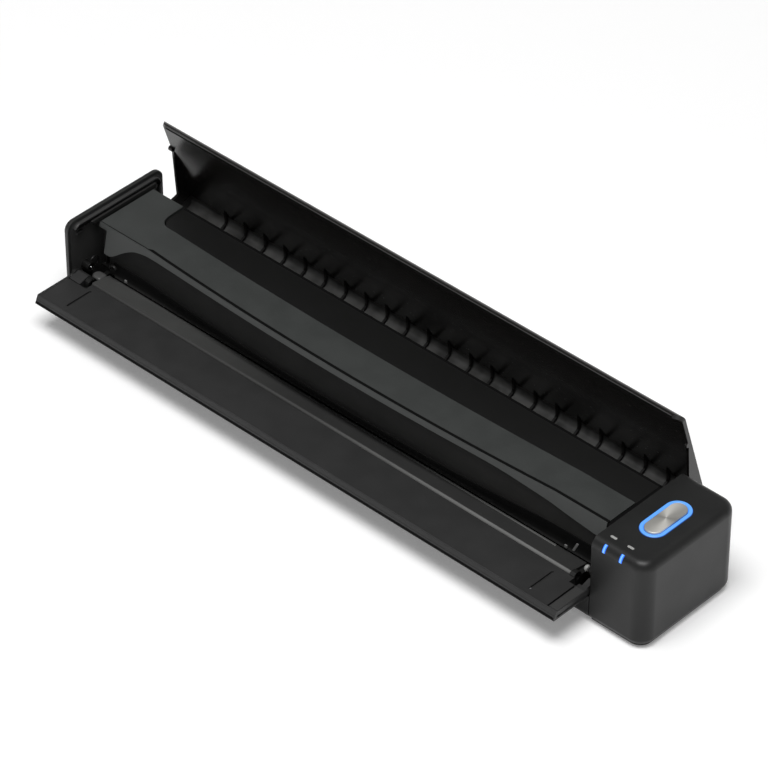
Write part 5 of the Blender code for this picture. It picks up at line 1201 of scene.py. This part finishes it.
class ScannerUpperUnit(bpy.types.Operator):
    """Makes the grey cover with its arched lip, the dark deck, the mouth and the chassis"""

    bl_idname = "scanner.upper_unit"
    bl_label = "Upper unit"

    deck_left = 22.5
    deck_corner = 5.0
    groove_left = 31.0
    groove_run = 1.5

    def stations(self):
        """The places along X where the cover is cut through, closer together where its lines bend."""
        places = [UNIT_LEFT, FACE_LEFT - 0.3, FACE_LEFT, self.deck_left - 0.3, self.deck_left]
        places += [self.groove_left, self.groove_left + self.groove_run]
        places += [FACE_LEFT + (UNIT_RIGHT - FACE_LEFT) * share for share, height in MOUTH_ARCH]
        places += [FACE_LEFT + 26.0 * i / 24 for i in range(1, 25)]
        places += [self.deck_left + self.deck_corner * i / 8 for i in range(1, 9)]
        places += [40.0 + (COVER_RIGHT - 40.0) * i / 44 for i in range(45)]
        wide = []
        for x in sorted(places):
            if x <= COVER_RIGHT and (not wide or x - wide[-1] > 0.12):
                wide.append(x)
        wide[-1] = COVER_RIGHT
        return wide

    def rear_y(self, x):
        """The rear edge of the cover: the unit's own at the left, then round a corner to the deck."""
        if x < self.deck_left - 0.15:
            return UNIT_REAR
        short = 1 - within((x - self.deck_left) / self.deck_corner)
        return deck_front_y(x) + self.deck_corner * (1 - math.sqrt(1 - short ** 2))

    def cover(self, x):
        """The grey cover cut through at x."""
        crease = crease_y(x)
        low = mouth_top_z(x) if x >= FACE_LEFT - 0.15 else UNIT_TOP - 1.8
        groove, wide = self.groove(x)
        edge = crease + 0.3
        thick = 1.2
        inner = UNIT_TOP - thick
        shelf = inner - groove * 0.6
        return [
            (face_y(x, low), low),
            (face_y(x, UNIT_TOP - 0.45), UNIT_TOP - 0.45),
            (face_y(x, UNIT_TOP - 0.18) + 0.02, UNIT_TOP - 0.18),
            (crease + 0.08, UNIT_TOP - 0.05),
            (crease + 0.2, UNIT_TOP),
            (edge, UNIT_TOP),
            (edge + 0.03, UNIT_TOP - groove),
            (edge + wide - 0.03, UNIT_TOP - groove),
            (edge + wide, UNIT_TOP),
            (self.rear_y(x), UNIT_TOP),
            (self.rear_y(x), inner),
            (edge + 2.2, inner),
            (edge + 1.25, shelf),
            (face_y(x, shelf) + thick, shelf - 0.05),
            (face_y(x, low) + thick, low),
        ]

    def groove(self, x):
        """Depth and width of the line behind the front edge: a fine crease at the left, then a groove."""
        grown = within((x - self.groove_left) / self.groove_run)
        return 0.5 + 0.4 * grown, 0.4 + 0.85 * grown

    def groove_strip(self, x):
        """A black strip of painted shade in the groove behind the front edge, cut through at x."""
        depth, wide = self.groove(x)
        near = crease_y(x) + 0.33
        far = near + wide - 0.06
        floor = UNIT_TOP - depth + 0.01
        return [
            (near, floor), (far, floor), (far, UNIT_TOP - 0.12),
            (near + wide * 0.3, UNIT_TOP - 0.2), (near, UNIT_TOP - 0.18),
        ]

    def end_strip(self, x):
        """The low black end of the cover beside the control block, a strip of painted shade in the gap there,
        cut through at x.
        """
        low = mouth_top_z(x) + 0.3
        top = UNIT_TOP - 0.5
        return [
            (face_y(x, low) + 0.35, low), (crease_y(x) + 0.2, top), (UNIT_REAR, top), (UNIT_REAR, top - 0.8),
            (crease_y(x) + 2.5, top - 0.8), (face_y(x, low) + 1.2, low),
        ]

    def mouth_foot(self, x):
        """The black foot of the mouth, where the sheet runs in over the roller, cut through at x."""
        knee = face_y(x, 23.0) + 1.7
        high = 20.3 + 0.9 * within((x - 188.0) / 32.0)
        front = [
            (knee - 0.32, high), (knee - 0.36, 18.45),
            (knee + (MOUTH_BEND - knee) * 0.45 - 0.3, 16.7), (MOUTH_BEND - 0.15, 13.85),
        ]
        return front + [(y + 0.7, z + 0.1) for y, z in reversed(front)]

    def execute(self, context):
        size = context.scene.scanner_sizes
        body = "top_unit"
        wide = self.stations()
        cover = swept(wide, self.cover)
        make("grey_cover", [cover], body, "graphite_plastic", ("top_cover",), sharp=28.0)
        first, last = 15.0, UNIT_RIGHT - 1.85
        foot = [first + (last - first) * i / 48 for i in range(49)]
        for name, places, outline, material in (
            ("cover_groove_strip", [x for x in wide if x >= UNIT_LEFT + 1.2], self.groove_strip, "gap_black"),
            ("cover_end_strip", (COVER_RIGHT + 0.02, UNIT_RIGHT), self.end_strip, "gap_black"),
            ("mouth_foot", foot, self.mouth_foot, "foot_black"),
        ):
            make(name, [swept(places, outline)], body, material, sharp=60.0)
        # A black strip of painted shade in the gap at the deck's rear edge
        shade_line = box(self.deck_left + 0.1, UNIT_RIGHT, 37.2, 38.75, UNIT_TOP - 1.5, UNIT_TOP - 0.5)
        make("deck_rear_seam", [shade_line], body, "gap_black", edge=FULL_ROUND)
        for name, node, material in (
            ("dark_deck", "top_deck", "deck_black"),
            ("mouth_shell", "mouth_face", "mouth_black"),
            ("unit_chassis", "upper_frame", "black_plastic"),
        ):
            refined(name, node, body, material, size.fine_edge)
        return {"FINISHED"}


class ScannerOutputGuide(bpy.types.Operator):
    """Makes the polished output guide with its rolled lip, gussets and comb of fins"""

    bl_idname = "scanner.output_guide"
    bl_label = "Output guide"

    skin = 1.5
    front = 3.5
    rear = 4.0
    lip_turn = 73.0

    def stations(self):
        """Places along X, and how far the lip is bent down there: it rolls up towards both ends."""
        steps = 8
        reaches = [self.front * reach for rest, reach in bend(steps)]
        ends = [(reach, min(90.0 * i / steps, self.lip_turn)) for i, reach in enumerate(reaches)]
        left = [(GUIDE_LEFT + reach, turn) for reach, turn in ends]
        middle = [(40.0 + 20.0 * i, self.lip_turn) for i in range(9)]
        return left + middle + [(GUIDE_RIGHT - reach, turn) for reach, turn in reversed(ends)]

    def outline(self, turn):
        """The guide cut through where its lip bends down by a turn in degrees."""
        lip = (self.front, BODY_TOP - self.front)
        back = (BODY_REAR - self.rear, BODY_TOP - self.rear)
        spots = arc(*lip, self.front, 90.0 + turn, 90.0, 14)
        spots += arc(*back, self.rear, 90.0, 0.0, 14)
        spots += [(BODY_REAR, 15.5), (BODY_REAR - self.skin, 15.5)]
        spots += arc(*back, self.rear - self.skin, 0.0, 90.0, 14)
        return spots + arc(*lip, self.front - self.skin, 90.0, 90.0 + turn, 14)

    def on_edge(self, reach, out):
        """A place on the lip's free edge: its reach from the lip's centre, and how far it stands out."""
        slant = math.radians(90.0 + self.lip_turn)
        y = self.front + reach * math.cos(slant) - out * math.sin(slant)
        return y, BODY_TOP - self.front + reach * math.sin(slant) + out * math.cos(slant)

    def execute(self, context):
        size = context.scene.scanner_sizes
        body, slot = "output_guide", "gloss_black_plastic"
        top = BODY_TOP - self.skin / 2
        under = BODY_TOP - self.skin
        back = BODY_REAR - self.skin / 2
        corner = (BODY_REAR - self.rear, BODY_TOP - self.rear)
        left, right = GUIDE_LEFT + 1.0, GUIDE_RIGHT - 1.0
        # The shell, with a gusset and a detent nub at each end and a notch along its foot
        gusset = [(13.1, top), (36.8, BODY_TOP - 6.3)]
        gusset += arc(*COVER_HINGE, COVER_KNUCKLE, 180.0, 300.0, 16)
        gusset += [(back, 16.25), (back, corner[1]), (corner[0], top)]
        gussets = [prism(gusset, GUIDE_LEFT, left), prism(gusset, right, GUIDE_RIGHT)]
        spans = ((GUIDE_LEFT - 0.7, left), (right, GUIDE_RIGHT))
        nubs = [prism(circle(16.0, under, 1.0, 20), *span) for span in spans]
        bore = circle(*COVER_HINGE, COVER_BORE)
        cuts = [
            prism(bore, GUIDE_LEFT - 2, left + 2),
            prism(bore, right - 2, GUIDE_RIGHT + 2),
            box(GUIDE_LEFT + 3.3, GUIDE_RIGHT - 3.3, corner[0], BODY_REAR + 2, 13.0, 25.0),
        ]
        make(
            "guide_shell", [loft([section(self.outline(turn), x, "x") for x, turn in self.stations()])],
            body, slot, ("output_guide",), edge=size.edge,
            changes=((JOIN, gussets), (JOIN, nubs), (CUT, cuts)),
        )
        # A painted highlight line and a painted shade line along the lip's free edge
        span = (GUIDE_LEFT + 3.4, GUIDE_RIGHT - 3.4)
        bead = prism(circle(*self.on_edge(self.front - 0.5, 0.0), 0.14, 8), *span)
        make("guide_edge_line", [bead], body, "worn_ridge", sharp=60.0)
        low = self.front - self.skin - 0.03
        high = low + 0.55
        shade = [self.on_edge(*spot) for spot in ((low, -0.1), (high, -0.1), (high, 0.06), (low, 0.06))]
        make("guide_edge_shade", [prism(shade, *span)], body, "gap_black")
        # The fins, ribs across the inside of the rear bend
        inside = BODY_REAR - self.skin
        fin = [(38.8, under + 0.1), (corner[0], under + 0.1), (inside + 0.1, corner[1])]
        fin += [(inside + 0.1, 26.2), (inside, 26.2)]
        fin += arc(*corner, self.rear - self.skin - 1.2, 0.0, 90.0, 6)
        fin.append((38.8, under))
        pitch = size.fin_pitch * 1000
        start = right - 3.5 - pitch * (size.fin_count - 1)
        # The fins take a darker copy of the guide's black: painted shade
        row_of(
            "guide_fins", prism(fin, start, start + 1.0), body, "fin_black", size.fin_count,
            (pitch, 0.0, 0.0), size.fine_edge,
        )
        return {"FINISHED"}


class ScannerFeedGuide(bpy.types.Operator):
    """Makes the fold-down feed guide with its lip, its knuckles and the liner's two marks"""

    bl_idname = "scanner.feed_guide"
    bl_label = "Feed guide"

    def execute(self, context):
        size = context.scene.scanner_sizes
        body, slot = "feed_guide", "soft_black_plastic"
        left, right, root = 2.5, 249.4, 14.6
        lip = [(0.0, root), (0.0, 32.8), (0.12, 33.05), (0.4, 33.05), (3.1, 31.85), (3.32, 31.7), (3.4, 31.5)]
        lip += [(3.4, 31.32), (1.5, 31.32), (1.5, root)]
        # End walls, knuckles and the recesses that clear the hubs
        end = rectangle(0.75, 3.4, root, 31.4)
        knuckle = arc(*FEED_HINGE, FEED_KNUCKLE, 180.0, 360.0, 16) + [(3.4, 17.3), (0.5, 17.3)]
        knuckles = [prism(knuckle, 3.9, 9.1), prism(knuckle, right - 2.5, right - 0.3)]
        ends = [prism(end, left, left + 1.0), prism(end, right - 3.9, right)]
        sides = ((left - 1.0, 12.3), (242.4, right + 1.0))
        reliefs = [box(*side, -1.0, 5.0, root - 1.0, 16.1) for side in sides]
        bore = prism(circle(*FEED_HINGE, 1.3, 24), left - 1.0, right + 1.0)
        make(
            "flap_shell", [prism(lip, left, right)], body, slot, ("feed_guide",), edge=size.edge,
            changes=((JOIN, ends), (CUT, reliefs), (JOIN, knuckles), (CUT, [bore])),
        )
        # The liner, with its two long marks
        cuts = [prism(stadium(x, 23.25, 1.0, 12.0, 6), 2.6, 4.4, "y") for x in (15.0, 235.2)]
        cuts += [box(*side, 0.0, 5.0, root, 17.6) for side in ((left, 12.6), (242.4, right))]
        liner = box(left + 1.05, right - 4.6, 1.56, 3.4, root + 0.06, 31.26)
        make(
            "flap_liner", [liner], body, slot, ("feed_guide_liner",), edge=size.fine_edge,
            changes=((CUT, cuts),),
        )
        # flap_edge_shade is a strip of painted shade along the lip's outer edge
        along, away = 0.914, 0.406  # The slope of the lip, as a direction
        for name, low, high, material in (
            ("flap_edge_shade", 0.0, 0.85, "gap_black"), ("flap_edge_line", 1.45, 1.7, "deck_grey"),
        ):
            spots = [(0.4 + along * s + away * out, 33.05 - away * s + along * out)
                     for s, out in ((low, 0.02), (high, 0.02), (high, -0.1), (low, -0.1))]
            make(name, [prism(spots, left + 0.4, right - 0.4)], body, material)
        strip = box(right - 3.75, right - 0.3, 3.3, 3.46, 17.8, 31.0)
        make("flap_end_strip", [strip], body, "strip_grey", edge=FULL_ROUND)
        pin = prism(circle(235.2, 28.6, 0.42, 16), 3.0, 3.3, "y")
        make("flap_mark_pin", [pin], body, "steel", edge=FULL_ROUND)
        return {"FINISHED"}


class ScannerPaperPath(bpy.types.Operator):
    """Softens the paper bed and adds its painted highlight lines, its end shoe and the ribbed gap of the
    roller
    """

    bl_idname = "scanner.paper_path"
    bl_label = "Paper path"

    def execute(self, context):
        size = context.scene.scanner_sizes
        refined("bed_plate", "paper_bed", "base", "bed_grey", size.fine_edge)
        # Painted highlights along the bed's rear ridge and its front nose
        ridge = [(8.9, 12.9), (9.15, 13.22), (9.55, 13.36), (9.9, 13.25), (10.08, 12.9)]
        ridge = prism(ridge, 12.2, 226.4)
        make("bed_ridge", [ridge], "base", "ridge_wear", edge=FULL_ROUND, sharp=50.0)
        bead = arc(*FEED_HINGE, 1.16, 90.0, 152.0, 12) + arc(*FEED_HINGE, 0.9, 152.0, 90.0, 12)
        make("bed_nose", [prism(bead, 12.1, 239.5)], "base", "nose_wear", sharp=50.0)
        # The end shoe is made lighter: a painted highlight
        shoe = arc(9.3, 7.3, 2.3, 90.0, 270.0, 16) + [(12.1, 5.0), (12.1, 9.6)]
        shoe = prism(shoe, 11.4, 13.9, "z")
        make("bed_end_shoe", [shoe], "base", "worn_ridge", edge=FULL_ROUND, segments=3)
        # The floor and the ribs of the roller's gap take the near-black of painted shade
        floor = box(12.3, 239.3, 10.12, 14.2, 12.28, 12.4)
        make("roller_gap_floor", [floor], "base", "gap_black")
        rib = box(43.0, 43.55, 10.35, 11.15, 12.35, 13.75)
        row_of("roller_gap_ribs", rib, "base", "gap_black", 79, (2.45, 0.0, 0.0), FULL_ROUND)
        return {"FINISHED"}


class ScannerHingeEnds(bpy.types.Operator):
    """Makes the small hubs, pins, hooks and nubs at the two ends of the paper path"""

    bl_idname = "scanner.hinge_ends"
    bl_label = "Hinge ends"

    def horseshoe(self, y, z, outer, inner, start, end, steps):
        """A curved strip between two radii, seen from the side."""
        return arc(y, z, outer, start, end, steps) + arc(y, z, inner, end, start, steps)

    def execute(self, context):
        hub = (7.5, 14.7)
        hook = self.horseshoe(10.6, 15.2, 2.3, 1.7, -60.0, 150.0, 18)
        arch = self.horseshoe(15.6, 18.2, 1.9, 1.35, 20.0, 200.0, 16)
        arch_y = face_y(15.6, 18.2)
        arch = prism(arch, arch_y + 0.9, arch_y + 1.9, "y")
        right_hub = prism(circle(5.5, 16.1, 1.5, 28), 244.3, 249.6)
        right_pin = prism(circle(5.4, 16.2, 1.25, 24), 243.0, 244.5)
        clip = loft([
            section(rectangle(233.0, 234.2, 9.75, 10.6), 14.7, "z"),
            section(rectangle(234.9, 236.1, 9.85, 10.6), 19.0, "z"),
        ])
        make(
            "left_hub", [prism(circle(*hub, 1.9, 28), 2.25, 5.5)], "base", "black_plastic", edge=FULL_ROUND,
            changes=(
                (JOIN, [box(2.25, 4.8, 6.4, 8.6, 9.0, 14.0)]),
                (CUT, [prism(circle(*hub, 1.15, 24), 4.4, 6.5)]),
            ),
        )
        for name, shape, body, material, slot in (
            ("left_hub_pin", prism(circle(*hub, 0.55, 20), 4.2, 5.7), "base", "steel", None),
            ("left_hook", prism(hook, 3.4, 4.3), "base", "charcoal_plastic", None),
            ("right_hub", right_hub, "base", "black_plastic", None),
            ("right_hub_pin", right_pin, "base", "pale_plastic", "white_plastic"),
            # The end clip is light grey: a painted highlight
            ("mouth_end_clip", clip, "top_unit", "worn_edge", "black_plastic"),
            ("mouth_left_arch", arch, "top_unit", "black_plastic", None),
        ):
            make(name, [shape], body, material, edge=FULL_ROUND)
        # The nubs are light grey: painted highlights
        on_points(
            "roller_gap_nubs", box(-0.55, 0.55, -0.4, 0.4, -0.5, 0.5), "top_unit", "worn_edge",
            [(230.6, 9.9, 15.2), (21.0, 9.9, 15.2)],
        )
        return {"FINISHED"}


class ScannerPanel(bpy.types.Panel):
    """The scanner's operators in the sidebar"""

    bl_idname = "VIEW3D_PT_document_scanner"
    bl_label = "Document scanner"
    bl_space_type = "VIEW_3D"
    bl_region_type = "UI"
    bl_category = "Scanner"

    def draw(self, context):
        for step in STEPS:
            self.layout.operator(step.bl_idname)


STEPS = (
    ScannerStudio, ScannerFinishes, ScannerControlBlock, ScannerScanButton, ScannerEndCap, ScannerTray,
    ScannerUpperUnit, ScannerOutputGuide, ScannerFeedGuide, ScannerPaperPath, ScannerHingeEnds,
)
GROUPS = (
    ("scanner_sizes", ScannerSizes), ("scanner_colours", ScannerColours), ("scanner_studio", StudioSettings),
)


def register():
    for name, group in GROUPS:
        bpy.utils.register_class(group)
        setattr(bpy.types.Scene, name, bpy.props.PointerProperty(type=group))
    for kind in (*STEPS, ScannerPanel):
        bpy.utils.register_class(kind)


def unregister():
    for kind in reversed((*STEPS, ScannerPanel)):
        bpy.utils.unregister_class(kind)
    for name, group in reversed(GROUPS):
        delattr(bpy.types.Scene, name)
        bpy.utils.unregister_class(group)


def main():
    register()
    for step in STEPS:
        group, name = step.bl_idname.split(".")
        getattr(getattr(bpy.ops, group), name)()


if __name__ == "__main__":
    main()
